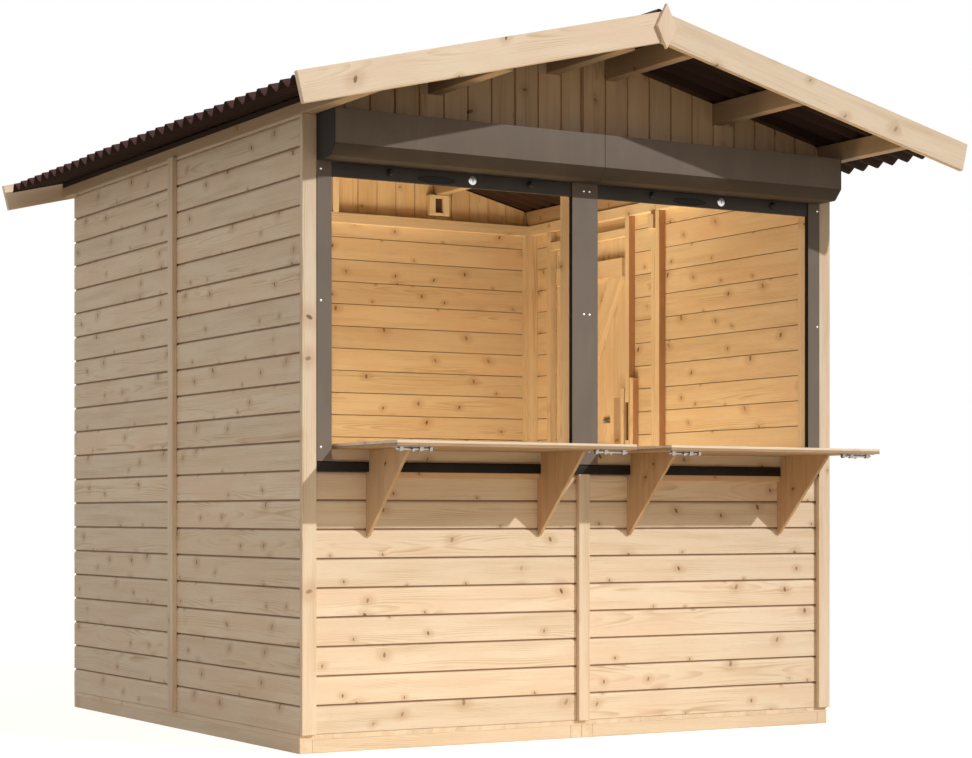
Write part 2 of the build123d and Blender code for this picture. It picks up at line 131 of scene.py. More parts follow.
class Graph:
    """Adds nodes to a tree by type, settings and the values or links of sockets."""

    def __init__(self, tree):
        self.tree = tree

    def add(self, kind, settings=None, sockets=None, out=0):
        node = self.tree.nodes.new(kind)
        for name, value in (settings or {}).items():
            setattr(node, name, value)
        for key, value in (sockets or {}).items():
            if isinstance(value, Value):
                self.tree.links.new(value.socket, node.inputs[key])
            else:
                node.inputs[key].default_value = value
        return Value(self, node.outputs[out]) if len(node.outputs) else node

    def scaled(self, vector, factors):
        return self.add("ShaderNodeVectorMath", {"operation": "MULTIPLY"}, {0: vector, 1: factors})

    def axes(self, vector):
        split = self.add("ShaderNodeSeparateXYZ", {}, {0: vector})
        return split.out("X"), split.out("Y"), split.out("Z")

    def point(self, x=0.0, y=0.0, z=0.0):
        return self.add("ShaderNodeCombineXYZ", {}, {0: x, 1: y, 2: z})

    def noise(self, vector, factors, detail=2.0, roughness=0.5):
        return self.add("ShaderNodeTexNoise", {}, {
            "Vector": self.scaled(vector, factors), "Scale": 1.0, "Detail": detail, "Roughness": roughness})

    def blend(self, factor, first, second):
        """Colour first where factor is 0, second where it is 1."""
        first, second = (tone if isinstance(tone, Value) else (*tone, 1.0) for tone in (first, second))
        return self.add("ShaderNodeMix", {"data_type": "RGBA"}, {0: factor, 6: first, 7: second}, out=2)

    def kept(self, geometry, name, vector, domain="POINT"):
        """The geometry with a vector stored on it under a name."""
        return self.add("GeometryNodeStoreNamedAttribute", {"data_type": "FLOAT_VECTOR", "domain": domain},
                        {"Geometry": geometry, "Name": name, "Value": vector})

    def finish(self, sockets):
        surface = self.add("ShaderNodeBsdfPrincipled", {}, sockets)
        self.add("ShaderNodeOutputMaterial", {}, {"Surface": surface})


def settle(piece, slot, *nodes, body="hut"):
    """Ties a finished piece to its body in place of the plain nodes; the slot is not used."""
    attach(piece, body)
    if nodes:
        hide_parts(*nodes)


def new_finish(name):
    material = bpy.data.materials.new(name)
    material.use_nodes = True
    material.node_tree.nodes.clear()
    return material, Graph(material.node_tree)


RING_WIDTH = 0.0046            # one year's growth
KNOT_ROOM = (0.19, 0.088, 0.0)  # each knot has this much board, along and across


def spruce(name, early, late, blush, knots=0.42, groove_shade_depth=0.0):
    """Planed spruce. The rings lie round a heart beside each board, so flat faces
    show long arches; each knot bends them, and is hard, dark and a little shiny.
    Where boards have open grooves, the wood deeper than the given depth is darkened: painted shade in the joints."""
    material, g = new_finish(name)
    place = g.add("ShaderNodeAttribute", {"attribute_name": "wood"}, out="Vector")
    draws = g.add("ShaderNodeAttribute", {"attribute_name": "board"}, out="Vector")
    along, across, depth = g.axes(place)
    draw_a, draw_b, draw_c = g.axes(draws)

    cell = g.add("ShaderNodeVectorMath", {"operation": "DIVIDE"}, {0: place, 1: (KNOT_ROOM[0], KNOT_ROOM[1], 1.0)})
    spots = g.add("ShaderNodeTexVoronoi", {"voronoi_dimensions": "2D"}, {"Vector": cell, "Scale": 1.0})
    luck, girth, lean = g.axes(spots.out("Color"))
    off = g.add("ShaderNodeVectorMath", {"operation": "SUBTRACT"}, {0: spots.out("Position"), 1: cell})
    off_along, off_across = g.axes(g.scaled(off, KNOT_ROOM))[:2]
    off_along = off_along + (lean - 0.5) * off_across * 0.9
    near = (off_along * off_along * 2.6 + off_across * off_across) ** 0.5
    stain = (off_along * off_along * 0.5 + off_across * off_across) ** 0.5
    there = luck.step(knots, knots - 0.03)
    size = girth * 0.0085 + 0.0042
    ragged = near + (g.noise(place, (420.0, 420.0, 420.0)) - 0.5) * 0.0022
    core = ragged.step(size * 1.15, size * 0.6) * there
    halo = stain.step(size * 3.4, size * 0.7) * there
    bend = stain.step(0.032, 0.0) * there

    sway_a, sway_b, sway_c = g.axes(g.noise(place, (1.3, 4.0, 4.0), 1.0).out("Color"))
    side = across + (draw_a - 0.5) * 0.15 + (sway_a - 0.5) * 0.05 + bend * 0.007
    back = depth + 0.022 + draw_b * 0.05 + (sway_b - 0.5) * 0.05
    ring = ((side * side + back * back) ** 0.5 / RING_WIDTH + sway_c * 2.0).rest()
    dark_line = ring.step(0.3, 0.9) * ring.step(1.0, 0.93)
    drift = g.noise(place, (2.4, 30.0, 30.0), 2.0)
    fibre = g.noise(place, (22.0, 900.0, 900.0), 2.0, 0.6)
    streak = g.noise(place, (2.5, 260.0, 260.0), 2.0)
    patch = g.noise(place, (3.1, 11.0, 11.0), 1.0)

    colour = g.blend(dark_line * drift.step(0.25, 0.75) * 0.74 + (drift - 0.5) * 0.90 + (streak - 0.5) * 0.80,
                     early, late)
    colour = g.blend(patch.step(0.38, 0.66) * (0.35 + draw_c * 0.5), colour, blush)
    colour = g.blend((fibre - 0.48).most(0.0) * 1.1, colour, late)
    colour = g.blend(halo * 0.40, colour, (0.48, 0.28, 0.13))
    colour = g.blend(core * (0.48 + lean * 0.48), colour, (0.150, 0.068, 0.030))
    # painted shade: wood deep in the board joints is darkened as if in shadow
    if groove_shade_depth:
        painted_shade_zone = depth.step(-groove_shade_depth, -groove_shade_depth - 0.0016) * depth.step(-0.0150, -0.0140)
        colour = g.blend(painted_shade_zone * 0.84, colour, (0.20, 0.105, 0.050))
    board_tone = 0.93 + draw_c * 0.11
    colour = g.scaled(colour, g.point(board_tone, board_tone, board_tone))
    height = dark_line * 0.35 + fibre * 0.5 + core * 0.8
    normal = g.add("ShaderNodeBump", {}, {"Strength": 0.35, "Distance": 0.0007, "Height": height})
    g.finish({"Base Color": colour, "Roughness": 0.55 + fibre * 0.2 - core * 0.15, "Normal": normal,
              "Specular IOR Level": 0.35})
    return material


def drawn_out(outline, reach):
    """A closed body between an outline and its copy a reach away."""
    bm = bmesh.new()
    near = [bm.verts.new(point) for point in outline]
    far = [bm.verts.new(Vector(point) + reach) for point in outline]
    bm.faces.new(near)
    bm.faces.new(far)
    for i in range(len(outline)):
        j = (i + 1) % len(outline)
        bm.faces.new((near[i], near[j], far[j], far[i]))
    bmesh.ops.recalc_face_normals(bm, faces=bm.faces)
    return bm


def section_at(axis, start, pairs, reach):
    """An outline across an axis from pairs of the other two, and its reach along it."""
    way = Vector((0, 0, 0))
    way[axis] = reach
    return [(*pair[:axis], start, *pair[axis:]) for pair in pairs], way


class Timbers:
    """Sawn pieces gathered into one mesh. wood is each point's place in its own
    piece in metres, along, across and deep, and board is three draws for the piece."""

    def __init__(self, name, seed):
        self.name = name
        self.draw = random.Random(seed)
        self.corners, self.faces, self.wood, self.board = [], [], [], []

    def store(self, bm, wood, board):
        first = len(self.corners)
        bm.verts.index_update()
        for vert in bm.verts:
            self.corners.append(tuple(vert.co))
            self.wood.append(wood(vert))
            self.board.append(board(vert))
        for face in bm.faces:
            self.faces.append([first + vert.index for vert in face.verts])
        bm.free()

    def prism(self, outline, reach, grain=None, arris=0.0015):
        """A piece sawn to an outline and as long as reach, its edges broken."""
        bm = drawn_out(outline, reach)
        if arris:
            bmesh.ops.bevel(bm, geom=bm.edges[:], offset=arris, segments=1, affect="EDGES")
        grain = Vector(grain).normalized() if grain else reach.normalized()
        spans = []
        for axis in (Vector((1, 0, 0)), Vector((0, 1, 0)), Vector((0, 0, 1))):
            side = axis - grain * axis.dot(grain)
            if side.length > 0.5:
                side.normalize()
                reaches = [side.dot(vert.co) for vert in bm.verts]
                spans.append((round(max(reaches) - min(reaches), 4), tuple(side), min(reaches), max(reaches)))
        side, low, high = max(spans)[1:]
        side = Vector(side)
        deep = grain.cross(side)
        middle = sum((vert.co for vert in bm.verts), Vector()) / len(bm.verts)
        slide = self.draw.uniform(0.0, 60.0)
        draws = (self.draw.random(), self.draw.random(), self.draw.random())
        self.store(bm, lambda vert: (grain.dot(vert.co - middle) + slide, side.dot(vert.co) - (low + high) / 2,
                                     deep.dot(vert.co - middle)), lambda vert: draws)

    def sawn(self, axis, start, pairs, reach, **look):
        """A piece along an axis, sawn to a section of pairs of the other two."""
        self.prism(*section_at(axis, start, pairs, reach), **look)

    def box(self, low, high, arris=0.0015):
        """A straight piece between two corners, its grain along its length."""
        low, high = Vector(low), Vector(high)
        size = high - low
        length = max(range(3), key=lambda axis: size[axis])
        one, two = [axis for axis in range(3) if axis != length]
        outline = []
        for a, b in ((0, 0), (1, 0), (1, 1), (0, 1)):
            point = low.copy()
            point[one] += a * size[one]
            point[two] += b * size[two]
            outline.append(point)
        reach = Vector((0, 0, 0))
        reach[length] = size[length]
        self.prism(outline, reach, arris=arris)

    def build(self, finish):
        mesh = bpy.data.meshes.new(self.name)
        mesh.from_pydata(self.corners, [], self.faces)
        for name, rows in (("wood", self.wood), ("board", self.board)):
            layer = mesh.attributes.new(name, "FLOAT_VECTOR", "POINT")
            layer.data.foreach_set("vector", [number for row in rows for number in row])
        mesh.materials.append(finish)
        piece = bpy.data.objects.new(self.name, mesh)
        scene.collection.objects.link(piece)
        return piece


base_low, base_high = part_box("base_frame")
BEARER = 0.045
JOISTS = 2
floor_timber = spruce("floor_spruce", (0.80, 0.65, 0.47), (0.58, 0.40, 0.23), (0.76, 0.56, 0.39))

bearers = Timbers("ground_frame", 11)
for x0, x1 in ((base_low.x, -0.0004), (0.0004, base_high.x)):
    for side_x in (x0, x1 - BEARER):
        bearers.box((side_x, base_low.y, 0.0), (side_x + BEARER, base_high.y, BEARER))
    room = (base_high.y - base_low.y - BEARER) / (JOISTS + 1)
    for i in range(JOISTS + 2):
        y0 = base_low.y + i * room
        bearers.box((x0 + BEARER + 0.0003, y0, 0.0), (x1 - BEARER - 0.0003, y0 + BEARER, BEARER))
settle(bearers.build(floor_timber), "floor_timber", "base_frame")

# ---- floor --------------------------------------------------------------------------
# Tongued and grooved spruce floor boards laid front to back on the joists. Their sawn
# ends show as a thin strip under the front wall, and a grooved edge at the sides.
SOCKETS = {float: "NodeSocketFloat", int: "NodeSocketInt", type(None): "NodeSocketMaterial"}


def new_tree(name, **inputs):
    """A tree for geometry, its graph and its inputs, whose kinds go by their values."""
    tree = bpy.data.node_groups.new(name, "GeometryNodeTree")
    tree.interface.new_socket("Geometry", in_out="INPUT", socket_type="NodeSocketGeometry")
    for label, value in inputs.items():
        socket = tree.interface.new_socket(label, in_out="INPUT", socket_type=SOCKETS[type(value)])
        if value is not None:
            socket.default_value = value
    tree.interface.new_socket("Geometry", in_out="OUTPUT", socket_type="NodeSocketGeometry")
    g = Graph(tree)
    return tree, g, g.add("NodeGroupInput").out


def board_tree():
    """Lays one board after another, each with its own draws, and saws them off at a
    sloping line and at a low and a high edge."""
    tree, g, given = new_tree("boards_side_by_side", Length=1.0, Pitch=0.096, Count=2, Low=-1.0, High=9.0,
                              Top=9.0, Slope=0.0, Seed=1, Finish=None)
    place = g.add("GeometryNodeInputPosition")
    line = g.add("GeometryNodeMeshLine", {"mode": "OFFSET"}, {
        "Count": given("Count"), "Offset": g.point(y=given("Pitch"))})
    laid = g.add("GeometryNodeInstanceOnPoints", {}, {
        "Points": line, "Instance": g.kept(given("Geometry"), "wood", place),
        "Scale": g.point(given("Length"), 1.0, 1.0)})
    draws = g.add("FunctionNodeRandomValue", {"data_type": "FLOAT_VECTOR"}, {
        0: (0.0, 0.0, 0.0), 1: (1.0, 1.0, 1.0), "ID": g.add("GeometryNodeInputIndex"), "Seed": given("Seed")})
    joined = g.add("GeometryNodeRealizeInstances", {}, {"Geometry": g.kept(laid, "board", draws, "INSTANCE")})
    x, y, z = g.axes(place)
    sawn = g.point(x.least(given("Top") + given("Slope") * y), y.most(given("Low")).least(given("High")), z)
    joined = g.add("GeometryNodeSetPosition", {}, {"Geometry": joined, "Position": sawn})
    in_board, own = (g.add("GeometryNodeInputNamedAttribute", {"data_type": "FLOAT_VECTOR"}, {"Name": name})
                     for name in ("wood", "board"))
    slide = g.axes(own)[0] * 60.0
    wood = g.point(g.axes(place)[0] + slide, *g.axes(in_board)[1:])
    done = g.add("GeometryNodeSetMaterial", {}, {
        "Geometry": g.kept(joined, "wood", wood), "Material": given("Finish")})
    g.add("NodeGroupOutput", {}, {"Geometry": done})
    return tree


BOARDS_SIDE_BY_SIDE = board_tree()


def grown(mesh, tree, values):
    """The plain mesh that a node tree makes of a mesh."""
    seedling = bpy.data.objects.new("seedling", mesh)
    scene.collection.objects.link(seedling)
    growth = seedling.modifiers.new("growth", "NODES")
    growth.node_group = tree
    for item in tree.interface.items_tree:
        if item.in_out == "INPUT" and item.name in values:
            growth[item.identifier] = values[item.name]
    depsgraph = bpy.context.evaluated_depsgraph_get()
    plain = bpy.data.meshes.new_from_object(seedling.evaluated_get(depsgraph), depsgraph=depsgraph)
    bpy.data.objects.remove(seedling)
    return plain


def whole(bm, finish=None, sharp=35):
    """The body as a mesh; in a finish it is smooth but for edges over sharp degrees."""
    mesh = bpy.data.meshes.new("body")
    bm.to_mesh(mesh)
    bm.free()
    if finish:
        mesh.materials.append(finish)
        mesh.shade_smooth()
        mesh.set_sharp_from_angle(angle=math.radians(sharp))
    return mesh


def facing(origin, along, out):
    """Where a row of boards goes: x along the boards, z out of their face."""
    along, out = Vector(along), Vector(out)
    row = out.cross(along)
    turn = Matrix((along, row, out)).transposed().to_4x4()
    return Matrix.Translation(Vector(origin)) @ turn


def lay(timbers, section, place, finish, **values):
    """Grows a row of boards and adds it to the timbers at its place. The section is
    pairs of across from 0 and out of the face, and the board grown is a metre long."""
    one_board = whole(drawn_out(*section_at(0, 0.0, section, 1.0)))
    mesh = grown(one_board, BOARDS_SIDE_BY_SIDE, {**values, "Finish": finish})
    bm = bmesh.new()
    bm.from_mesh(mesh)
    bmesh.ops.remove_doubles(bm, verts=bm.verts, dist=0.00002)
    bmesh.ops.dissolve_degenerate(bm, edges=bm.edges, dist=0.00001)
    bm.transform(place)
    wood = bm.verts.layers.float_vector["wood"]
    board = bm.verts.layers.float_vector["board"]
    timbers.store(bm, lambda vert: tuple(vert[wood]), lambda vert: tuple(vert[board]))
    bpy.data.meshes.remove(mesh)


floor_low, floor_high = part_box("floor")
FLOOR_T = floor_high.z - floor_low.z
FLOOR_PITCH = 0.0937
FLOOR_SECTION = [
    (0.0000, -FLOOR_T), (0.0000, -0.0118), (0.0034, -0.0118), (0.0034, -0.0062), (0.0000, -0.0062),
    (0.0000, -0.0012), (0.0012, 0.0000), (0.0922, 0.0000), (0.0934, -0.0012), (0.0934, -0.0066),
    (0.0966, -0.0066), (0.0966, -0.0114), (0.0934, -0.0114), (0.0934, -FLOOR_T),
]
floor_row = Timbers("floor_boards", 12)
floor_count = math.ceil((floor_high.x - floor_low.x) / FLOOR_PITCH)
lay(floor_row, FLOOR_SECTION, facing((floor_high.x, floor_low.y, floor_high.z), (0, 1, 0), (0, 0, 1)), floor_timber,
    Length=floor_high.y - floor_low.y, Pitch=FLOOR_PITCH, Count=floor_count, Low=0.0,
    High=floor_high.x - floor_low.x, Seed=12)
settle(floor_row.build(floor_timber), "floor_timber", "floor")

# ---- left wall ----------------------------------------------------------------------
# Two panels of shiplap boards on an upright frame of planed studs. Each board has a
# cove along its top, over which the next board's lower edge stands proud, and a flat
# strip is nailed over the joint between the panels.
CLAD_T = 0.019
STUD_D = 0.032
STUD_W = 0.045
COVE_TOP = 0.0094              # the last board ends in its cove; a fillet fills it
BOARD_PITCH = 0.096
FIRST_BOARD = 0.0618
BOARD_ROWS = 21
SHIPLAP = [
    (0.0000, -0.0012), (0.0014, 0.0000), (0.0805, 0.0000), (0.0842, -0.0007), (0.0872, -0.0020),
    (0.0894, -0.0040), (0.0908, -0.0074), (0.0993, -0.0074), (0.0993, -0.0118), (0.0930, -0.0118),
    (0.0930, -0.0182), (0.0922, -0.0190), (0.0006, -0.0190), (0.0000, -0.0184), (0.0000, -0.0122),
    (0.0042, -0.0122), (0.0042, -0.0070), (0.0000, -0.0070),
]
WALL_TONES = ((0.80, 0.662, 0.495), (0.56, 0.385, 0.220), (0.77, 0.580, 0.415))
wall_boards = spruce("wall_spruce", *WALL_TONES, knots=0.62, groove_shade_depth=0.0056)
wall_studs = spruce("stud_spruce", *WALL_TONES)

front_low, front_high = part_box("left_wall_front")
WALL_LEFT = front_low.x
FRONT_FACE = front_low.y
BACK_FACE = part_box("left_wall_back")[1].y
DECK = front_low.z
WALL_TOP = front_high.z
PANEL_JOINT = front_high.y
FRAME_FRONT = FRONT_FACE + CLAD_T + STUD_D
FRAME_BACK = BACK_FACE - CLAD_T - STUD_D
STRIP_W = 0.045
STRIP_T = 0.019
BOARD_GAP = 0.0008             # boards of two panels, each side of their joint
FRAME_GAP = 0.0005             # the same for their frames, and for what is let in


def upright_frame(timbers, across, depth0, depth1, start, end, low, high, stud=STUD_W):
    """Studs and plates of a wall panel; across is the axis that the wall runs along."""
    def piece(a0, a1, z0, z1):
        if across == "y":
            timbers.box((depth0, a0, z0), (depth1, a1, z1))
        else:
            timbers.box((a0, depth0, z0), (a1, depth1, z1))
    piece(start, end, low, low + STUD_W)
    piece(start, end, high - STUD_W, high)
    piece(start, start + stud, low + STUD_W, high - STUD_W)
    piece(end - stud, end, low + STUD_W, high - STUD_W)


def clad(timbers, corner, along, out, length, seed, rows=BOARD_ROWS, top=WALL_TOP):
    """Boards one over another from a panel's lower corner, sawn off level at its top."""
    lay(timbers, SHIPLAP, facing(corner, along, out), wall_boards, Length=length, Pitch=BOARD_PITCH, Count=rows,
        High=top - FIRST_BOARD, Seed=seed)


left = Timbers("left_wall_boards", 21)
for y0, y1, seed in ((FRONT_FACE, PANEL_JOINT - BOARD_GAP, 211), (PANEL_JOINT + BOARD_GAP, BACK_FACE, 212)):
    clad(left, (WALL_LEFT, y1, FIRST_BOARD), (0, -1, 0), (-1, 0, 0), y1 - y0, seed)
settle(left.build(wall_boards), "wall_boards", "left_wall_front", "left_wall_back")

left_studs = Timbers("left_wall_frame", 22)
inner = WALL_LEFT + CLAD_T
for y0, y1 in ((FRAME_FRONT, PANEL_JOINT - FRAME_GAP), (PANEL_JOINT + FRAME_GAP, FRAME_BACK)):
    upright_frame(left_studs, "y", inner, inner + STUD_D, y0, y1, DECK, WALL_TOP)
left_studs.box((WALL_LEFT + 0.0003, FRONT_FACE, WALL_TOP - COVE_TOP), (WALL_LEFT + 0.0072, BACK_FACE, WALL_TOP),
               arris=0.0005)
left_studs.box((WALL_LEFT - STRIP_T, PANEL_JOINT - STRIP_W / 2, DECK),
               (WALL_LEFT, PANEL_JOINT + STRIP_W / 2, WALL_TOP))
settle(left_studs.build(wall_studs), "wall_boards", "left_wall_front", "left_wall_back")

# ---- back wall ----------------------------------------------------------------------
# Two more panels of the same make, unseen in the picture, so they repeat the side
# walls: shiplap outside, studs and plates inside and a strip over the joint.
back = Timbers("back_wall_boards", 31)
WALL_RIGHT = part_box("right_wall_front")[1].x
for x0, x1, seed in ((WALL_LEFT + CLAD_T, -BOARD_GAP, 311), (BOARD_GAP, WALL_RIGHT - CLAD_T, 312)):
    clad(back, (x1, BACK_FACE, FIRST_BOARD), (-1, 0, 0), (0, 1, 0), x1 - x0, seed)
settle(back.build(wall_boards), "wall_boards", "back_wall_left", "back_wall_right")

back_studs = Timbers("back_wall_frame", 32)
for x0, x1 in ((WALL_LEFT + CLAD_T, -FRAME_GAP), (FRAME_GAP, WALL_RIGHT - CLAD_T)):
    upright_frame(back_studs, "x", FRAME_BACK, FRAME_BACK + STUD_D, x0, x1, DECK, WALL_TOP)
back_studs.box((-STRIP_W / 2, BACK_FACE, DECK), (STRIP_W / 2, BACK_FACE + STRIP_T, WALL_TOP))
settle(back_studs.build(wall_studs), "wall_boards", "back_wall_left", "back_wall_right")

# ---- right wall ---------------------------------------------------------------------
# The wall with the door: a plain panel in front, then the panel that the doorway is
# framed into, with boards beside it and over it. The frame's sides toward the front
# beside the doorway are a browner spruce as painted shade; one upright has the slot
# that the door bar goes into, with a dark plate in it as painted shade.
right = Timbers("right_wall_boards", 41)
over_low, over_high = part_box("right_wall_over_door")
RIGHT_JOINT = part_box("right_wall_front")[1].y
DOORWAY = (over_low.y, over_high.y)
DOOR_HEAD = 1.965
for y0, y1, seed in (
    (FRONT_FACE, RIGHT_JOINT - BOARD_GAP, 411), (RIGHT_JOINT + BOARD_GAP, DOORWAY[0], 412),
    (DOORWAY[1], BACK_FACE, 413),
):
    clad(right, (WALL_RIGHT, y0, FIRST_BOARD), (0, 1, 0), (1, 0, 0), y1 - y0, seed)
ROWS_OVER_DOOR = 2
row_z = FIRST_BOARD + (BOARD_ROWS - ROWS_OVER_DOOR) * BOARD_PITCH
lay(right, SHIPLAP, facing((WALL_RIGHT, DOORWAY[0], row_z), (0, 1, 0), (1, 0, 0)), wall_boards,
    Length=DOORWAY[1] - DOORWAY[0], Pitch=BOARD_PITCH, Count=ROWS_OVER_DOOR, Low=DOOR_HEAD - row_z,
    High=WALL_TOP - row_z, Seed=414)
settle(right.build(wall_boards), "wall_boards",
       "right_wall_front", "right_wall_lock_side", "right_wall_hinge_side", "right_wall_over_door")

right_studs = Timbers("right_wall_frame", 42)
inner = WALL_RIGHT - CLAD_T
DOOR_STUD = 0.029
SLOT = (1.094, 1.254)
SLOT_CHEEKS = (0.0035, 0.0030)  # wood left in front of the slot and behind it
STOP_DROP, STOP_UP, STOP_CLEAR = 0.010, 0.026, 0.006
PEG_Y, PEG_Z, PEG_T = (0.161, 0.201), (1.963, 2.025), 0.012
for y0, y1 in ((FRAME_FRONT, RIGHT_JOINT - FRAME_GAP), (DOORWAY[1], FRAME_BACK)):
    upright_frame(right_studs, "y", inner - STUD_D, inner, y0, y1, DECK, WALL_TOP, stud=DOOR_STUD)
y0, y1 = RIGHT_JOINT + FRAME_GAP, DOORWAY[0]
for z in (DECK, WALL_TOP - STUD_W):
    right_studs.box((inner - STUD_D, y0, z), (inner, y1, z + STUD_W))
right_studs.box((inner - STUD_D, y0, DECK + STUD_W), (inner, y0 + DOOR_STUD, WALL_TOP - STUD_W))
for z0, z1 in ((DECK + STUD_W, SLOT[0]), (SLOT[1], WALL_TOP - STUD_W)):
    right_studs.box((inner - STUD_D, y1 - DOOR_STUD, z0), (inner, y1, z1), arris=0.001)
for a, b in ((y1 - DOOR_STUD, y1 - DOOR_STUD + SLOT_CHEEKS[0]), (y1 - SLOT_CHEEKS[1], y1)):
    right_studs.box((inner - STUD_D, a, SLOT[0]), (inner, b, SLOT[1]), arris=0.0006)
right_studs.box((inner - STUD_D, DOORWAY[0] + FRAME_GAP, DOOR_HEAD - STOP_DROP),
                (inner - STOP_CLEAR, DOORWAY[1] - FRAME_GAP, DOOR_HEAD + STOP_UP))
right_studs.box((inner - STUD_D - PEG_T, PEG_Y[0], PEG_Z[0]), (inner - STUD_D - 0.0002, PEG_Y[1], PEG_Z[1]))
right_studs.box((WALL_RIGHT - 0.0072, FRONT_FACE, WALL_TOP - COVE_TOP), (WALL_RIGHT - 0.0003, BACK_FACE, WALL_TOP),
                arris=0.0005)
right_studs.box((inner - STUD_D, DOORWAY[0] + FRAME_GAP, WALL_TOP - STUD_W),
                (inner, DOORWAY[1] - FRAME_GAP, WALL_TOP))
right_studs.box((WALL_RIGHT, RIGHT_JOINT - STRIP_W / 2, DECK),
                (WALL_RIGHT + STRIP_T, RIGHT_JOINT + STRIP_W / 2, WALL_TOP))
POST_FOOT, POST_TOP, POST_W = 0.94, 1.36, 0.026
post_y1 = DOORWAY[0] - DOOR_STUD - 0.0003
post_x = inner - STUD_D + 0.002
right_studs.sawn(0, post_x, [(post_y1 - POST_W, POST_FOOT), (post_y1, POST_FOOT), (post_y1, POST_TOP),
                             (post_y1 - POST_W, POST_TOP - 0.006)],
                 STUD_D - 0.0022, grain=(0, 0, 1), arris=0.002)
right_frame = right_studs.build(wall_studs)
# painted shade: the frame's faces toward the front beside the doorway get this darker, browner spruce
shaded_stud_sides = spruce("stud_side_spruce", (0.62, 0.380, 0.230), (0.42, 0.215, 0.105), (0.59, 0.330, 0.195))
right_frame.data.materials.append(shaded_stud_sides)
for face in right_frame.data.polygons:
    painted_shade_zone = face.center.x < inner and RIGHT_JOINT - 0.1 < face.center.y < DOORWAY[0]
    if face.normal.y < -0.9 and painted_shade_zone:
        face.material_index = 1
settle(right_frame, "wall_boards",
       "right_wall_front", "right_wall_lock_side", "right_wall_hinge_side", "right_wall_over_door")

# painted shade: a near-black spruce for thin plates set in the door bar's slot and in the purlin blocks' pockets
painted_shade_wood = spruce("slot_spruce", (0.090, 0.050, 0.028), (0.050, 0.026, 0.014), (0.075, 0.040, 0.022))
slot = Timbers("bar_slot", 43)
slot.box((inner - 0.024, DOORWAY[0] - DOOR_STUD + 0.0037, SLOT[0] + 0.0002),
         (inner, DOORWAY[0] - 0.0032, SLOT[1] - 0.0002),
         arris=0.0005)
settle(slot.build(painted_shade_wood), "wall_boards", "right_wall_lock_side")

# ---- front wall ---------------------------------------------------------------------
# Two low shiplap panels under the serving openings, with a strip over their joint.
# Planed corner boards run to the full height of the walls and cover the board ends.
SILL_TOP = 0.994
CORNER_W = 0.052
CORNER_T = 0.019
TRIM_BOTTOM = 0.921
front = Timbers("front_wall_boards", 51)
for x0, x1, seed in ((WALL_LEFT + CLAD_T, -BOARD_GAP, 511), (BOARD_GAP, WALL_RIGHT - CLAD_T, 512)):
    clad(front, (x0, FRONT_FACE, FIRST_BOARD), (1, 0, 0), (0, -1, 0), x1 - x0, seed, rows=10, top=SILL_TOP)
settle(front.build(wall_boards), "wall_boards", "front_wall_left", "front_wall_right")

front_studs = Timbers("front_wall_frame", 52)
for x0, x1 in ((WALL_LEFT + CLAD_T, -FRAME_GAP), (FRAME_GAP, WALL_RIGHT - CLAD_T)):
    upright_frame(front_studs, "x", FRONT_FACE + CLAD_T, FRAME_FRONT, x0, x1, DECK, SILL_TOP)
front_studs.box((-STRIP_W / 2, FRONT_FACE - STRIP_T, DECK), (STRIP_W / 2, FRONT_FACE, TRIM_BOTTOM))
for x0 in (WALL_LEFT, WALL_RIGHT - CORNER_W):
    front_studs.box((x0, FRONT_FACE - CORNER_T, DECK), (x0 + CORNER_W, FRONT_FACE, WALL_TOP))
settle(front_studs.build(wall_studs), "wall_boards", "front_wall_left", "front_wall_right")

# ---- frame of the openings ----------------------------------------------------------
# Planed posts beside and between the two openings and a head board over them, nailed
# into the front panels; the shutters hang from the head.
HEAD_LOW = 1.903
MULLION_W = 0.090
MULLION_D = 0.070
JAMB_OUT = WALL_RIGHT - CLAD_T
JAMB_IN = 0.993
opening_studs = Timbers("opening_posts", 61)
frame_timber = spruce("post_spruce", (0.80, 0.65, 0.47), (0.58, 0.40, 0.23), (0.76, 0.57, 0.41), knots=0.40)
opening_studs.box((-JAMB_OUT, FRONT_FACE, HEAD_LOW), (JAMB_OUT, FRONT_FACE + CLAD_T, WALL_TOP))
opening_studs.box((-JAMB_OUT, FRONT_FACE + CLAD_T + 0.0004, WALL_TOP - 0.070), (JAMB_OUT, FRAME_FRONT, WALL_TOP))
opening_studs.box((-JAMB_OUT, FRONT_FACE + CLAD_T + 0.0004, HEAD_LOW), (JAMB_OUT, FRAME_FRONT, HEAD_LOW + 0.070))
for side in (-1, 1):
    x0, x1 = sorted((side * JAMB_IN, side * JAMB_OUT))
    opening_studs.box((x0, FRONT_FACE, SILL_TOP), (x1, FRONT_FACE + CLAD_T, HEAD_LOW - 0.0004))
    opening_studs.box((x0, FRONT_FACE + CLAD_T + 0.0004, SILL_TOP), (x1, FRAME_FRONT, HEAD_LOW - 0.0004))
for x0 in (-MULLION_W / 2, 0.0004):
    opening_studs.box((x0, FRONT_FACE, SILL_TOP),
                      (x0 + MULLION_W / 2 - 0.0004, FRONT_FACE + MULLION_D, HEAD_LOW - 0.0004))
settle(opening_studs.build(frame_timber), "frame_timber", "opening_frame")

# ---- purlins ------------------------------------------------------------------------
# Three planed purlins a side run from bargeboard to bargeboard, their tops sawn to the
# slope. The upper two are let into the gables, the lowest stands on the side wall.
SLOPE = math.tan(math.radians(13.8))
RIDGE_UNDER = 2.40754
PURLIN_W, PURLIN_H = 0.045, 0.070
MID_PURLIN, UPPER_PURLIN = 0.588, 0.119
EAVE_IN = WALL_RIGHT - PURLIN_W
purlin_low, purlin_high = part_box("purlin_mid_left")
PURLIN_START, PURLIN_END = purlin_low.y, purlin_high.y
# painted shade: the purlins get a darker copy of the spruce, for the shade under the eaves
roof_timber = spruce("purlin_spruce", (0.47, 0.345, 0.22), (0.33, 0.205, 0.11), (0.44, 0.30, 0.185), knots=0.45)


def under_sheets(x):
    return RIDGE_UNDER - abs(x) * SLOPE


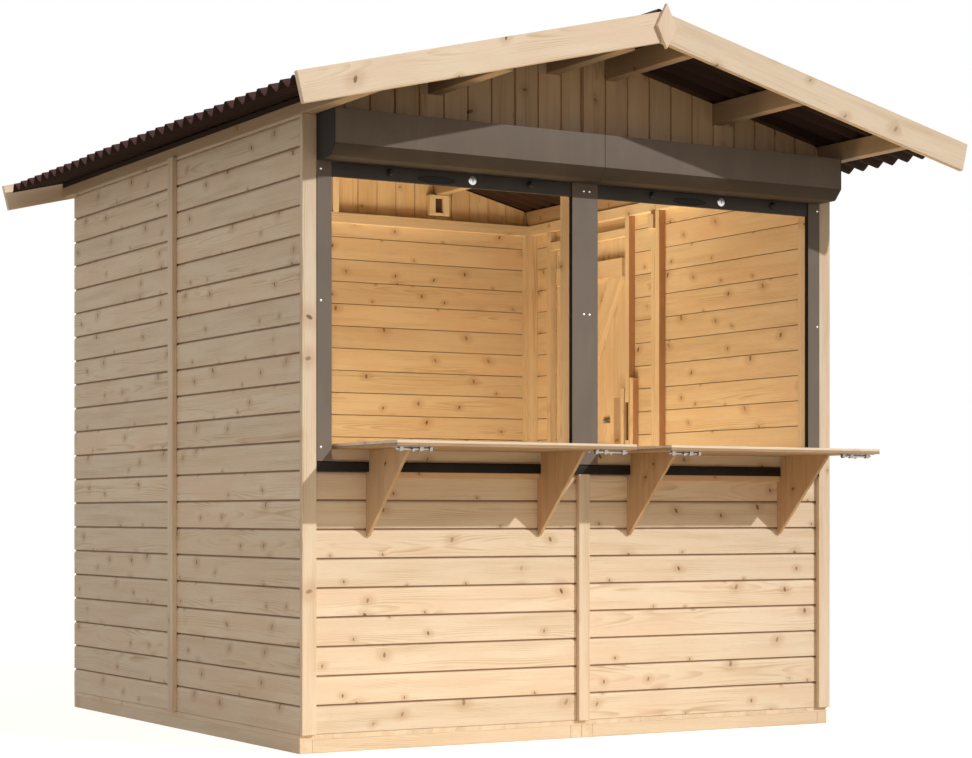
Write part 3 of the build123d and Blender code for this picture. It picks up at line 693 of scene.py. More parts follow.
purlins = Timbers("purlins", 71)
for middle, foot in (
    (EAVE_IN + PURLIN_W / 2, WALL_TOP),
    (MID_PURLIN, under_sheets(MID_PURLIN) - PURLIN_H),
    (UPPER_PURLIN, under_sheets(UPPER_PURLIN) - PURLIN_H),
):
    x0, x1 = middle - PURLIN_W / 2, middle + PURLIN_W / 2
    section = [(x0, foot), (x1, foot), (x1, under_sheets(x1)), (x0, under_sheets(x0))]
    for side in (-1, 1):
        purlins.sawn(1, PURLIN_START, [(side * x, z) for x, z in section], PURLIN_END - PURLIN_START, arris=0.002)
settle(purlins.build(roof_timber), "roof_timber",
       "purlin_eave_left", "purlin_mid_left", "purlin_upper_left",
       "purlin_eave_right", "purlin_mid_right", "purlin_upper_right")

# ---- gables -------------------------------------------------------------------------
# Upright boards with open grooves between them, sawn off along the slope under the
# sheets. The boards that carry a purlin stop short under it. Blocks and uprights are
# nailed behind the boards where the purlins come through.
GABLE_T = 0.019
GABLE_PITCH = 0.0935
GABLE_SECTION = [
    (0.0035, -0.0008), (0.0043, 0.0000), (0.0897, 0.0000), (0.0905, -0.0008), (0.0905, -0.0082),
    (0.0968, -0.0082), (0.0968, -0.0122), (0.0900, -0.0122), (0.0900, -GABLE_T), (0.0000, -GABLE_T),
    (0.0000, -0.0126), (0.0035, -0.0126),
]
GABLE_EDGE = 0.006             # open joint in the middle, each side
GABLE_START = {1: 0.0060, -1: -0.0085}
GABLE_RUNS = ((0, 1, None), (1, 2, UPPER_PURLIN), (2, 6, None), (6, 7, MID_PURLIN), (7, 12, None))
# painted light: the gable boards get a warmer, more orange copy of the spruce, for the warm light thrown up into the
# shade under the roof
gable_boards = spruce("gable_spruce", (0.80, 0.610, 0.395), (0.56, 0.345, 0.170), (0.77, 0.530, 0.330), knots=0.45)
gable_rows = Timbers("gable_boards", 81)
for face_y, out, seed in ((FRONT_FACE, -1, 811), (BACK_FACE, 1, 831)):
    for side in (-1, 1):
        for run, (first, last, carried) in enumerate(GABLE_RUNS):
            start = GABLE_START[side] + first * GABLE_PITCH
            end = GABLE_START[side] + last * GABLE_PITCH
            top, slope = RIDGE_UNDER - WALL_TOP - 0.001, SLOPE
            if carried:
                top, slope = under_sheets(carried) - PURLIN_H - WALL_TOP - 0.001, 0.0
            edges = (max(start, GABLE_EDGE), min(end + 0.004, EAVE_IN))
            sense = out * side
            origin = start if sense > 0 else end
            low, high = sorted(sense * (edge - origin) for edge in edges)
            lay(gable_rows, GABLE_SECTION, facing((side * origin, face_y, WALL_TOP), (0, 0, 1), (0, out, 0)),
                gable_boards, Length=0.4, Pitch=GABLE_PITCH, Count=last - first, Low=low, High=high,
                Top=top - origin * slope, Slope=-sense * slope, Seed=seed + 5 * side + run)
settle(gable_rows.build(gable_boards), "wall_boards", "gable_front", "gable_back")

gable_studs = Timbers("gable_uprights", 82)
# Each purlin block gets a thin dark plate in its pocket, painted shade for the hollow.
pocket_shades = Timbers("purlin_pockets", 83)
for y0, y1, face in ((FRONT_FACE + GABLE_T, FRAME_FRONT, FRONT_FACE), (FRAME_BACK, BACK_FACE - GABLE_T, BACK_FACE)):
    board_y0, board_y1 = sorted((face, face - math.copysign(GABLE_T, face)))
    for side in (-1, 1):
        for x0, x1, z0, z1 in (
            (0.530, 0.560, 2.101, 2.191), (0.600, 0.630, 2.101, 2.191),
            (0.560, 0.600, 2.101, 2.113), (0.560, 0.600, 2.178, 2.191),
        ):
            a, b = sorted((side * x0, side * x1))
            gable_studs.box((a, y0, z0), (b, y1, z1), arris=0.001)
        for carried in (UPPER_PURLIN, MID_PURLIN):
            x0 = carried + PURLIN_W / 2 + 0.001
            x1 = GABLE_START[side] + (2 if carried == UPPER_PURLIN else 7) * GABLE_PITCH - 0.003
            foot = under_sheets(carried) - PURLIN_H
            section = [(side * x, z) for x, z in (
                (x0, foot), (x1, foot), (x1, under_sheets(x1) - 0.001), (x0, under_sheets(x0) - 0.001))]
            gable_studs.sawn(1, board_y0 + 0.002, section, board_y1 - board_y0 - 0.004, grain=(0, 0, 1), arris=0.001)
        a, b = sorted((side * 0.5602, side * 0.5998))
        pocket_shades.box((a, (y0 + y1) / 2 - 0.001, 2.1132), (b, (y0 + y1) / 2 + 0.001, 2.1778), arris=0.0003)
    gable_studs.box((0.055, y0, WALL_TOP), (0.085, y1, 2.31))
    gable_studs.box((-0.030, y0, WALL_TOP), (0.015, y1, 2.38))
settle(gable_studs.build(wall_studs), "wall_boards", "gable_front", "gable_back")
settle(pocket_shades.build(painted_shade_wood), "wall_boards", "gable_front", "gable_back")

# ---- roof sheets --------------------------------------------------------------------
# Corrugated sheets of bitumen-soaked fibre, three to each slope, their waves running
# down to the eaves. Each laps one wave over the next, and nails with round caps hold
# them through the wave crests to the purlins.
WAVE_PITCH = 0.084
WAVE_RISE = 0.0296
SHEET_T = 0.0020
SHEET_FOOT_X = 1.305
sheet_low, sheet_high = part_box("roof_sheet_right")
COSP = math.cos(math.radians(13.8))


def bitumen(name, base, bloom):
    """Matt felted fibre with bitumen: fine clumped fibres and a dusty bloom."""
    material, g = new_finish(name)
    where = g.add("ShaderNodeTexCoord", out="Object")
    fibre = g.noise(where, (520.0, 260.0, 520.0), 3.0, 0.7)
    cloud = g.noise(where, (5.0, 5.0, 5.0), 3.0, 0.6)
    colour = g.blend(fibre.step(0.35, 0.75) * 0.55, base, tuple(c * 1.9 for c in base))
    colour = g.blend(cloud.step(0.4, 0.75) * 0.30, colour, bloom)
    normal = g.add("ShaderNodeBump", {}, {"Strength": 0.6, "Distance": 0.0012, "Height": fibre})
    g.finish({"Base Color": colour, "Roughness": 0.78 + fibre * 0.15, "Normal": normal,
              "Specular IOR Level": 0.15})
    return material


# The underside felt is near black and the top red: the two colours of the sheets, with the underside also darkened
# as painted shade under the eaves.
roof_felt = bitumen("bitumen_sheet", (0.028, 0.014, 0.010), (0.046, 0.024, 0.018))
roof_paint = bitumen("bitumen_sheet_top", (0.125, 0.062, 0.060), (0.230, 0.130, 0.130))


def wave_tree():
    """A sheet of waves: x down the slope, y across the waves, z out of the roof."""
    tree, g, given = new_tree("wave_sheet", Length=1.3, Width=0.9, Pitch=0.084, Rise=0.019, Thickness=0.003,
                              Start=0.0, Steps=100, Lift=0.0, Finish=None, Under=None)
    flat = g.add("GeometryNodeMeshGrid", {}, {
        "Size X": given("Length"), "Size Y": given("Width"), "Vertices X": 8, "Vertices Y": given("Steps")})
    x, y, z = g.axes(g.add("GeometryNodeInputPosition"))
    x = x + given("Length") * 0.5
    y = y + given("Width") * 0.5 + given("Start")
    turn = y / given("Pitch") * (2 * math.pi)
    phase = turn.math("COSINE", turn)
    height = given("Lift") + given("Thickness") + given("Rise") * 0.5 * (1.0 - phase)
    wavy = g.add("GeometryNodeSetPosition", {}, {"Geometry": flat, "Position": g.point(x, y, height)})
    smooth = g.add("GeometryNodeSetShadeSmooth", {}, {"Geometry": wavy})
    down = g.point(z=given("Thickness") * -1.0)
    raised = g.add("GeometryNodeExtrudeMesh", {"mode": "FACES"}, {"Mesh": smooth, "Offset": down,
                   "Offset Scale": 1.0, "Individual": False})
    turned = g.add("GeometryNodeFlipFaces", {}, {"Mesh": raised})
    both = g.add("GeometryNodeJoinGeometry")
    for shell, finish in ((smooth, "Finish"), (turned, "Under")):
        coat = g.add("GeometryNodeSetMaterial", {}, {"Geometry": shell, "Material": given(finish)})
        tree.links.new(coat.socket, both.socket.node.inputs[0])
    whole = g.add("GeometryNodeMergeByDistance", {}, {"Geometry": both, "Distance": 0.00005})
    real = g.add("GeometryNodeRealizeInstances", {}, {"Geometry": whole})
    g.add("NodeGroupOutput", {}, {"Geometry": real})
    return tree


WAVE_SHEET = wave_tree()


class Shapes:
    """Pieces without a grain gathered into one mesh, smooth or flat."""

    def __init__(self, name):
        self.name = name
        self.bm = bmesh.new()
        self.finishes = []

    def take(self, mesh, place=Matrix(), finish=None):
        """Adds a copy of a mesh at its place, in its own finishes or the one given."""
        own = [finish or made for made in mesh.materials]
        first = len(self.bm.faces)
        part = mesh.copy()
        part.transform(place)
        self.bm.from_mesh(part)
        bpy.data.meshes.remove(part)
        self.bm.faces.ensure_lookup_table()
        for face in self.bm.faces[first:]:
            chosen = own[face.material_index]
            if chosen not in self.finishes:
                self.finishes.append(chosen)
            face.material_index = self.finishes.index(chosen)

    def build(self):
        mesh = bpy.data.meshes.new(self.name)
        self.bm.to_mesh(mesh)
        self.bm.free()
        for finish in self.finishes:
            mesh.materials.append(finish)
        piece = bpy.data.objects.new(self.name, mesh)
        scene.collection.objects.link(piece)
        return piece


def down_slope(side, x):
    """A place on a slope, x from the ridge, at the end that its waves count from."""
    along = Vector((side * COSP, 0, -COSP * SLOPE))
    normal = Vector((side * COSP * SLOPE, 0, COSP))
    origin = Vector((0, SHEET_ENDS[0] if side > 0 else SHEET_ENDS[1], RIDGE_UNDER)) + along * x
    row = normal.cross(along)
    return Matrix.Translation(origin) @ Matrix((along, row, normal)).transposed().to_4x4()


SHEETS = 3
LAP_LIFT = 1.15 * SHEET_T      # a middle sheet lies on its neighbours' last waves
CRESTS = 32
SHEET_ENDS = (sheet_low.y, sheet_high.y)
slope_length = SHEET_FOOT_X / COSP - 0.003
ROOF_NODES = {-1: "roof_sheet_left", 1: "roof_sheet_right"}
roof = {}
for side, node in ROOF_NODES.items():
    roof[side] = Shapes(node + "s")
    width = (SHEET_ENDS[1] - SHEET_ENDS[0] + (SHEETS - 1) * WAVE_PITCH) / SHEETS
    for i in range(SHEETS):
        wave = grown(bpy.data.meshes.new("seed"), WAVE_SHEET, {
            "Length": slope_length, "Width": width, "Pitch": WAVE_PITCH, "Rise": WAVE_RISE, "Thickness": SHEET_T,
            "Start": i * (width - WAVE_PITCH), "Steps": int(width / WAVE_PITCH * 12) + 1,
            "Lift": (i % 2) * LAP_LIFT, "Finish": roof_paint, "Under": roof_felt})
        roof[side].take(wave, down_slope(side, 0.003))


def nail_tree():
    """A domed cap or nail head on every point given, standing out along z."""
    tree, g, given = new_tree("nail_heads", Radius=0.003, Height=0.001, Seed=1, Finish=None)
    ball = g.add("GeometryNodeMeshUVSphere", {}, {"Segments": 10, "Rings": 6, "Radius": 1.0})
    spread = g.add("FunctionNodeRandomValue", {"data_type": "FLOAT_VECTOR"}, {
        0: (-0.06, -0.06, -1.0), 1: (0.06, 0.06, 1.0), "ID": g.add("GeometryNodeInputIndex"), "Seed": given("Seed")})
    heads = g.add("GeometryNodeInstanceOnPoints", {}, {
        "Points": given("Geometry"), "Instance": g.add("GeometryNodeSetShadeSmooth", {}, {"Geometry": ball}),
        "Rotation": g.add("FunctionNodeEulerToRotation", {}, {0: spread}),
        "Scale": g.point(given("Radius"), given("Radius"), given("Height"))})
    real = g.add("GeometryNodeRealizeInstances", {}, {"Geometry": heads})
    done = g.add("GeometryNodeSetMaterial", {}, {"Geometry": real, "Material": given("Finish")})
    g.add("NodeGroupOutput", {}, {"Geometry": done})
    return tree


NAIL_HEADS = nail_tree()


def nailed(spots, finish, radius, height, seed):
    """Heads on flat spots, which are places across a face with z out of it."""
    dots = bpy.data.meshes.new("spots")
    dots.from_pydata(spots, [], [])
    return grown(dots, NAIL_HEADS, {"Radius": radius, "Height": height, "Seed": seed, "Finish": finish})


def oblong(a0, a1, b0, b1):
    return [(a0, b0), (a1, b0), (a1, b1), (a0, b1)]


def bar(axis, start, pairs, reach, finish, edge=0.0):
    """A straight piece of one section along an axis, its edges bevelled by edge."""
    bm = drawn_out(*section_at(axis, start, pairs, reach))
    if edge:
        bmesh.ops.bevel(bm, geom=bm.edges[:], offset=edge, segments=1, affect="EDGES")
    return whole(bm, finish)


CREST = SHEET_T + WAVE_RISE
# On each slope a thin strip of the dark underside felt runs along the top of the eave purlin's outer face: painted
# shade under the sheets' edge.
for side, shapes in roof.items():
    spots = []
    for row, x in enumerate((UPPER_PURLIN + 0.06, MID_PURLIN, EAVE_IN + 0.02)):
        for crest in range(1, CRESTS, 3 if row else 2):
            spots.append((x / COSP, (crest + 0.5) * WAVE_PITCH, CREST - 0.0005))
    shapes.take(nailed(spots, roof_paint, 0.0095, 0.0050, 91 + side), down_slope(side, 0.0))
    x0, x1 = sorted((side * WALL_RIGHT, side * (WALL_RIGHT + 0.003)))
    top = under_sheets(WALL_RIGHT + 0.003)
    shapes.take(bar(1, SHEET_ENDS[0], oblong(x0, x1, top - 0.018, top), SHEET_ENDS[1] - SHEET_ENDS[0],
                    roof_felt, 0.0006))
    settle(shapes.build(), "roof_sheets", ROOF_NODES[side])

# ---- ridge cap ----------------------------------------------------------------------
# A pressed strip of the same bitumen fibre: a half round over the ridge with a flat
# wing down each slope, laid in three lapping lengths and nailed through the crests.
cap_low, cap_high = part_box("ridge_cap")
CAP_BASE = 2.44255
CAP_WING = 0.163
CAP_T = 0.003
CAP_ROLL = 0.016


def cap_section(outer):
    """Half of the cap's section from the wing's edge to the top of the roll."""
    lift = CAP_T if outer else 0.0
    radius = CAP_ROLL - (0.0 if outer else CAP_T)
    points = [(CAP_WING, CAP_BASE - CAP_WING * SLOPE + lift * COSP)]
    for i in range(7):
        turn = math.radians(8 + 82 * i / 6)
        foot = CAP_BASE - radius * math.cos(turn) * SLOPE + lift
        points.append((radius * math.cos(turn), max(foot, CAP_BASE - 0.002 + radius * math.sin(turn))))
    return points


cap = Shapes("ridge_strip")
outer = cap_section(True)
inner = cap_section(False)
profile = outer + [(-x, z) for x, z in reversed(outer[:-1])]
profile += [(-x, z) for x, z in inner] + list(reversed(inner[:-1]))
lengths = 3
step = (cap_high.y - cap_low.y) / lengths
for i in range(lengths):
    y0 = cap_low.y + i * step
    reach = step + (0.06 if i < lengths - 1 else 0.0)
    lift = -0.0012 if i % 2 else 0.0
    cap.take(bar(1, y0, [(x, z + lift) for x, z in profile], reach, roof_paint))
for side in (-1, 1):
    spots = [(0.125, (crest + 0.5) * WAVE_PITCH, CREST + CAP_T - 0.0012) for crest in range(1, CRESTS, 3)]
    cap.take(nailed(spots, roof_paint, 0.009, 0.0045, 95 + side), down_slope(side, 0.0))
settle(cap.build(), "roof_sheets", "ridge_cap")

# ---- bargeboards --------------------------------------------------------------------
# Planed boards along both ends of the roof, mitred at the ridge and sawn off level at
# the eaves, with a small arrow-shaped plate over each mitre. They hide the wave ends.
BARGE_W = 0.100
BARGE_T = 0.020
PLATE_T = 0.014
BARGE_TOP = 2.44405
BARGE_END = 1.338
trim_boards = spruce("barge_spruce", (0.82, 0.67, 0.50), (0.60, 0.42, 0.25), (0.79, 0.61, 0.45), knots=0.40)
barge_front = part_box("bargeboard_front_left")[0].y
SINP = math.sin(math.radians(13.8))
end_z = BARGE_TOP - BARGE_END * SLOPE
barges = Timbers("bargeboards", 101)
arrow_mid = BARGE_TOP - BARGE_W / COSP / 2
MITRE_GAP = 0.0003
board_section = [(MITRE_GAP, BARGE_TOP - BARGE_W / COSP), (BARGE_END - BARGE_W * SINP, end_z - BARGE_W * COSP),
                 (BARGE_END, end_z), (MITRE_GAP, BARGE_TOP)]
arrow_section = [(0.008, arrow_mid - 0.074), (0.047, arrow_mid), (0.008, arrow_mid + 0.077), (-0.031, arrow_mid)]
for y0, plate_y in ((barge_front, barge_front - PLATE_T), (PURLIN_END, PURLIN_END + BARGE_T)):
    for side in (-1, 1):
        barges.sawn(1, y0, [(side * x, z) for x, z in board_section], BARGE_T,
                    grain=(side * COSP, 0, -SINP), arris=0.002)
    barges.sawn(1, plate_y, arrow_section, PLATE_T - 0.0001, grain=(0, 0, 1), arris=0.0010)
settle(barges.build(trim_boards), "trim_boards",
       "bargeboard_front_left", "bargeboard_front_right", "bargeboard_back_left", "bargeboard_back_right")

# ---- guide rails --------------------------------------------------------------------
# Extruded aluminium channels, powder coated in anthracite, in which the curtain runs.
# The end rails have one groove, the middle one a groove to each side; each is fixed to
# its post with bright pan-head screws.
RAIL_TOP = 1.935
RAIL_LOW = 0.954
RAIL_DEEP = 0.022
GROOVE = (-0.9105, -0.8920)
GROOVE_DEEP = 0.024
SCREW_HEIGHTS = (1.000, 1.478, 1.908)


def coated(name, colour, dusty, rough, sheen=0.22):
    """Powder coat: fine pimples, a dusty bloom and a few rubbed places."""
    material, g = new_finish(name)
    where = g.add("ShaderNodeTexCoord", out="Object")
    pimples = g.noise(where, (900.0, 900.0, 900.0), 1.0)
    bloom = g.noise(where, (7.0, 7.0, 3.0), 4.0, 0.6)
    streak = g.noise(where, (38.0, 38.0, 4.0), 2.0)
    tint = g.blend(bloom.step(0.38, 0.7) * 0.5 + streak.step(0.55, 0.75) * 0.18, colour, dusty)
    normal = g.add("ShaderNodeBump", {}, {"Strength": 0.25, "Distance": 0.0004, "Height": pimples})
    g.finish({"Base Color": tint, "Roughness": rough + bloom * 0.16, "Normal": normal,
              "Specular IOR Level": sheen})
    return material


anthracite = coated("anthracite_coat", (0.178, 0.145, 0.118), (0.220, 0.180, 0.148), 0.46, 0.12)
# The black coat and the slat coat are darker than the anthracite: partly their own dark colour, partly painted shade
# for the sill trim under the counters and the end slats under the boxes.
black_coat = coated("black_coat", (0.018, 0.015, 0.013), (0.032, 0.027, 0.023), 0.46, 0.12)
slat_coat = coated("slat_coat", (0.066, 0.060, 0.055), (0.090, 0.082, 0.075), 0.46, 0.12)
# The brush strips fill the rails' grooves in near black, partly as the seals and partly as painted shade in the
# grooves.
brush = coated("brush_strip", (0.018, 0.016, 0.015), (0.034, 0.030, 0.028), 0.8, 0.05)


def zinc(name, tone, rough, patch):
    """Zinc-plated steel: small patches of slightly different brightness."""
    material, g = new_finish(name)
    where = g.add("ShaderNodeTexCoord", out="Object")
    flake = g.add("ShaderNodeTexVoronoi", {}, {"Vector": g.scaled(where, (patch, patch, patch)), "Scale": 1.0},
                  out="Color")
    shade = g.axes(flake)[0]
    wear = g.noise(where, (60.0, 60.0, 60.0), 3.0)
    colour = g.blend(shade * 0.5 + wear * 0.3, tone, tuple(c * 0.72 for c in tone))
    g.finish({"Base Color": colour, "Metallic": 1.0, "Roughness": rough + shade * 0.1 + wear * 0.1})
    return material


bright_steel = zinc("zinc_plate", (0.84, 0.82, 0.80), 0.20, 260.0)


def turned(profile, finish, sides=16):
    """A round piece about z from radius and height pairs, closed where radius is 0."""
    bm = bmesh.new()
    rings = []
    for radius, height in profile:
        count = sides if radius > 0 else 1
        rings.append([bm.verts.new((radius * math.cos(2 * math.pi * i / sides),
                                    radius * math.sin(2 * math.pi * i / sides),
                                    height)) for i in range(count)])
    for low, high in zip(rings, rings[1:]):
        for i in range(sides):
            j = (i + 1) % sides
            corners = [low[i % len(low)], low[j % len(low)], high[j % len(high)], high[i % len(high)]]
            corners = list(dict.fromkeys(corners))
            if len(corners) > 2:
                bm.faces.new(corners)
    bmesh.ops.recalc_face_normals(bm, faces=bm.faces)
    return whole(bm, finish, sharp=40)


def at(origin, out, up=(0, 0, 1)):
    """A place on a face: z out of it, y up it."""
    out, up = Vector(out).normalized(), Vector(up)
    across = up.cross(out).normalized()
    return Matrix.Translation(Vector(origin)) @ Matrix((across, out.cross(across), out)).transposed().to_4x4()


SCREW_HEAD = turned([(0.0, 0.0012), (0.0010, 0.0012), (0.0013, 0.0024), (0.0030, 0.0021), (0.0043, 0.0012),
                     (0.0047, 0.0), (0.0, -0.0005)], bright_steel, 12)
rails = {"left": (-1.038, -0.985), "middle": (-0.053, 0.053), "right": (0.985, 1.038)}
rail_front = FRONT_FACE - RAIL_DEEP
for name, (x0, x1) in rails.items():
    g0, g1 = GROOVE
    wall = [(x0, FRONT_FACE), (x0, rail_front)]
    if name != "left":
        deep = x0 + GROOVE_DEEP
        wall = [(x0, FRONT_FACE), (x0, g1), (deep, g1), (deep, g0), (x0, g0), (x0, rail_front)]
    slot_side = [(x1, rail_front), (x1, FRONT_FACE)]
    if name != "right":
        deep = x1 - GROOVE_DEEP
        slot_side = [(x1, rail_front), (x1, g0), (deep, g0), (deep, g1), (x1, g1), (x1, FRONT_FACE)]
    rail = Shapes("rail_" + name)
    rail.take(bar(2, RAIL_LOW, wall + slot_side, RAIL_TOP - RAIL_LOW, anthracite, 0.0008))
    brushes = {"left": ((x1, -1),), "middle": ((x1, -1), (x0, 1)), "right": ((x0, 1),)}[name]
    for edge, inward in brushes:
        a, b = sorted((edge + inward * 0.002, edge + inward * 0.0235))
        rail.take(bar(2, RAIL_LOW, oblong(a, b, g0 + 0.0008, g1 - 0.0008), RAIL_TOP - RAIL_LOW, brush, 0.0005))
    columns = {"left": (-1.024,), "middle": (-0.005, 0.018), "right": (1.027,)}[name]
    for x in columns:
        for z in SCREW_HEIGHTS:
            rail.take(SCREW_HEAD, at((x, rail_front - 0.0001, z), (0, -1, 0)))
    settle(rail.build(), "shutter_metal", "guide_rail_" + name)

# ---- shutter boxes ------------------------------------------------------------------
# Boxes folded from coated aluminium sheet over the rolled-up curtains. Their lower
# front edge is cut off at 45 degrees and laid over with a darker strip as painted shade
# on that downward face; plastic plates, dark as painted shade, close the ends.
BOX_SECTION = [(-0.8905, 1.9355), (-0.9990, 1.9355), (-1.0070, 1.9380), (-1.0392, 1.9742), (-1.0392, 2.0865),
               (-0.8905, 2.0865)]
BOX_END, BOX_GAP = 1.035, 0.0007
SHADE_COVER = [(-0.9135, 1.9357), (-0.9990, 1.9357), (-1.0070, 1.9382), (-1.0390, 1.9741),
         (-1.0395, 1.9737), (-1.0074, 1.9376), (-0.9991, 1.9351), (-0.9135, 1.9351)]
cover_coat = coated("cover_coat", (0.070, 0.055, 0.043), (0.086, 0.068, 0.054), 0.50, 0.06)
end_plastic = coated("end_plastic", (0.030, 0.027, 0.025), (0.042, 0.038, 0.035), 0.5, 0.12)
for side, name, start in ((-1, "left", -BOX_END), (1, "right", BOX_GAP)):
    box = Shapes("box_" + name)
    box.take(bar(0, start, BOX_SECTION, BOX_END - BOX_GAP, anthracite, 0.0008))
    box.take(bar(0, start, SHADE_COVER, BOX_END - BOX_GAP, cover_coat))
    box.take(bar(0, side * (BOX_END + 0.0001), BOX_SECTION, side * 0.0029, end_plastic, 0.0008))
    settle(box.build(), "shutter_metal", "shutter_box_" + name)

# ---- end slats ----------------------------------------------------------------------
# The lowest slat of each rolled-up curtain hangs just under its box: a hollow extruded
# bar with a curved finger pull, a round lock and two black rubber stops.
SLAT = {"left": (-1.001, -0.037), "right": (0.037, 1.001)}
SLAT_Y = (-0.9063, -0.8957)
SLAT_Z = (1.886, 1.9345)
PULL_Z, LOCK_Z, STOP_Z = 1.903, 1.912, 1.914
black_rubber = coated("black_rubber", (0.018, 0.016, 0.015), (0.040, 0.036, 0.033), 0.5)
lock_steel = zinc("lock_face", (0.86, 0.86, 0.87), 0.22, 400.0)
# On each slat the finger pull is two thin dark ovals standing proud of the face, and the lock's keyhole a dark
# strip: their darkness is painted shade for the hollows.
for name, (x0, x1) in SLAT.items():
    slat = Shapes("slat_" + name)
    y0, y1 = SLAT_Y
    z0, z1 = SLAT_Z
    section = [(y1, z0), (y0 + 0.002, z0), (y0, 1.8885), (y0, 1.9325), (y0 + 0.001, z1), (y1, z1)]
    slat.take(bar(0, x0, section, x1 - x0, slat_coat, 0.0006))
    middle = -0.450 if name == "left" else 0.590
    pull = middle - 0.140
    for wide, high, out, deep, finish, edge in (
        (0.073, 0.0120, 0.0002, 0.0016, black_coat, 0.0006), (0.068, 0.0095, 0.0017, 0.0003, black_rubber, 0.0),
    ):
        oval = [(pull + wide * math.cos(math.pi * i / 16), PULL_Z + high * math.sin(math.pi * i / 16))
                for i in range(32)]
        slat.take(bar(1, y0 - out, oval, -deep, finish, edge))
    slat.take(turned([(0.0, 0.0022), (0.0125, 0.0022), (0.0150, 0.0010), (0.0158, 0.0), (0.0, -0.001)],
                     lock_steel, 24), at((middle, y0 - 0.0002, LOCK_Z), (0, -1, 0)))
    slat.take(bar(1, y0 - 0.0023, oblong(middle - 0.0013, middle + 0.0013, 1.9055, 1.9185), -0.0004, black_rubber))
    for x in ((-0.767, -0.222) if name == "left" else (0.286, 0.821)):
        stop = at((x, y0 - 0.0002, STOP_Z), (0, -1, 0))
        slat.take(turned([(0.0, 0.016), (0.0055, 0.016), (0.0058, 0.018), (0.0085, 0.018), (0.0100, 0.016),
                          (0.0110, 0.004), (0.0135, 0.002), (0.0135, 0.0), (0.0, -0.001)], black_rubber, 20), stop)
        for radius, finish in ((0.0072, slat_coat), (0.0040, black_rubber)):
            face = 0.0180 + (0.0078 - radius) * 0.25
            slat.take(turned([(0.0, face + 0.0006), (radius, face + 0.0004), (radius, face - 0.001),
                              (0.0, face - 0.001)], finish, 20), stop)
    settle(slat.build(), "shutter_metal", "end_slat_" + name)

# ---- sill trim ----------------------------------------------------------------------
# A folded strip in a coat darker than the rails', partly its own black and partly painted
# shade under the counters, screwed along the wall under the openings; the curtain closes
# down onto its upper edge.
trim_low, trim_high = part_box("sill_trim")
sill = Shapes("sill_strip")
fold = [(trim_high.y, trim_low.z), (trim_low.y, trim_low.z), (trim_low.y, trim_high.z - 0.004),
        (trim_low.y + 0.006, trim_high.z), (trim_high.y, trim_high.z)]
sill.take(bar(0, trim_low.x, fold, trim_high.x - trim_low.x, black_coat, 0.001))
for x in (-0.62, -0.30, 0.40, 0.72):
    sill.take(SCREW_HEAD, at((x, trim_low.y, (trim_low.z + trim_high.z) / 2), (0, -1, 0)), black_coat)
settle(sill.build(), "shutter_metal", "sill_trim")

# ---- counters -----------------------------------------------------------------------
# A serving shelf in each opening: planed spruce boards laid lengthways and glued to a
# spruce panel, with slightly rounded edges, resting on sill and brackets. The boards are
# a paler spruce as painted light on the top, and the panel a browner one as painted
# shade on the lower half of the front edge.
COUNTERS = {"left": (-0.969, -0.069), "right": (0.069, 0.969)}
counter_low, counter_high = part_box("counter_left")
counter_boards = spruce("counter_spruce", (0.90, 0.76, 0.58), (0.72, 0.54, 0.35), (0.87, 0.70, 0.53), knots=0.35)
shaded_core_boards = spruce("core_spruce", (0.46, 0.31, 0.175), (0.31, 0.18, 0.085), (0.42, 0.26, 0.145), knots=0.2)
STRIPS = 5
middle = counter_low.z + 0.50 * (counter_high.z - counter_low.z)
for name, seed in (("left", 131), ("right", 132)):
    shelf = Timbers("shelf_" + name, seed)
    x0, x1 = COUNTERS[name]
    deep = (counter_high.y - counter_low.y) / STRIPS
    core = Timbers("shelf_core_" + name, seed + 2)
    core.box((x0, counter_low.y, counter_low.z), (x1, counter_high.y, middle - 0.0002), arris=0.0012)
    settle(core.build(shaded_core_boards), "counter_boards", "counter_" + name)
    for i in range(STRIPS):
        y0 = counter_low.y + i * deep
        shelf.box((x0, y0, middle), (x1, y0 + deep - (0.0003 if i < STRIPS - 1 else 0.0), counter_high.z),
                  arris=0.0016 if i in (0, STRIPS - 1) else 0.0003)
    settle(shelf.build(counter_boards), "counter_boards", "counter_" + name)

# ---- counter brackets ---------------------------------------------------------------
# Triangular brackets of two boards glued edge to edge, their grain upright and their
# front sawn at 45 degrees, with a stretcher between them along the wall. Zinc-plated
# barrel bolts under the shelf's front corners lock it.
BRACKETS = {"left": (-0.848, -0.182), "right": (0.190, 0.856)}
BRACKET_T = 0.012
# painted shade: the brackets get a darker, browner copy of the spruce, for the shade on their sides
shaded_bracket_boards = spruce("bracket_spruce", (0.73, 0.51, 0.300), (0.50, 0.30, 0.145), (0.67, 0.43, 0.250), knots=0.45)
SEAM_Y = -1.020
FOOT_Y, FOOT_Z = -0.899, 0.707     # where the sloping front edge starts
NOSE_Y, NOSE_Z = -1.177, 0.985     # and where it ends
bolt_steel = zinc("bolt_zinc", (0.46, 0.44, 0.42), 0.30, 260.0)
HOOP = [
    (-0.0105, 0.0012), (-0.0068, 0.0012), (-0.0062, 0.0095), (-0.0032, 0.0138), (0.0032, 0.0138), (0.0062, 0.0095),
    (0.0068, 0.0012), (0.0105, 0.0012), (0.0105, 0.0024), (0.0078, 0.0024), (0.0074, 0.0102), (0.0040, 0.0152),
    (-0.0040, 0.0152), (-0.0074, 0.0102), (-0.0078, 0.0024), (-0.0105, 0.0024),
]


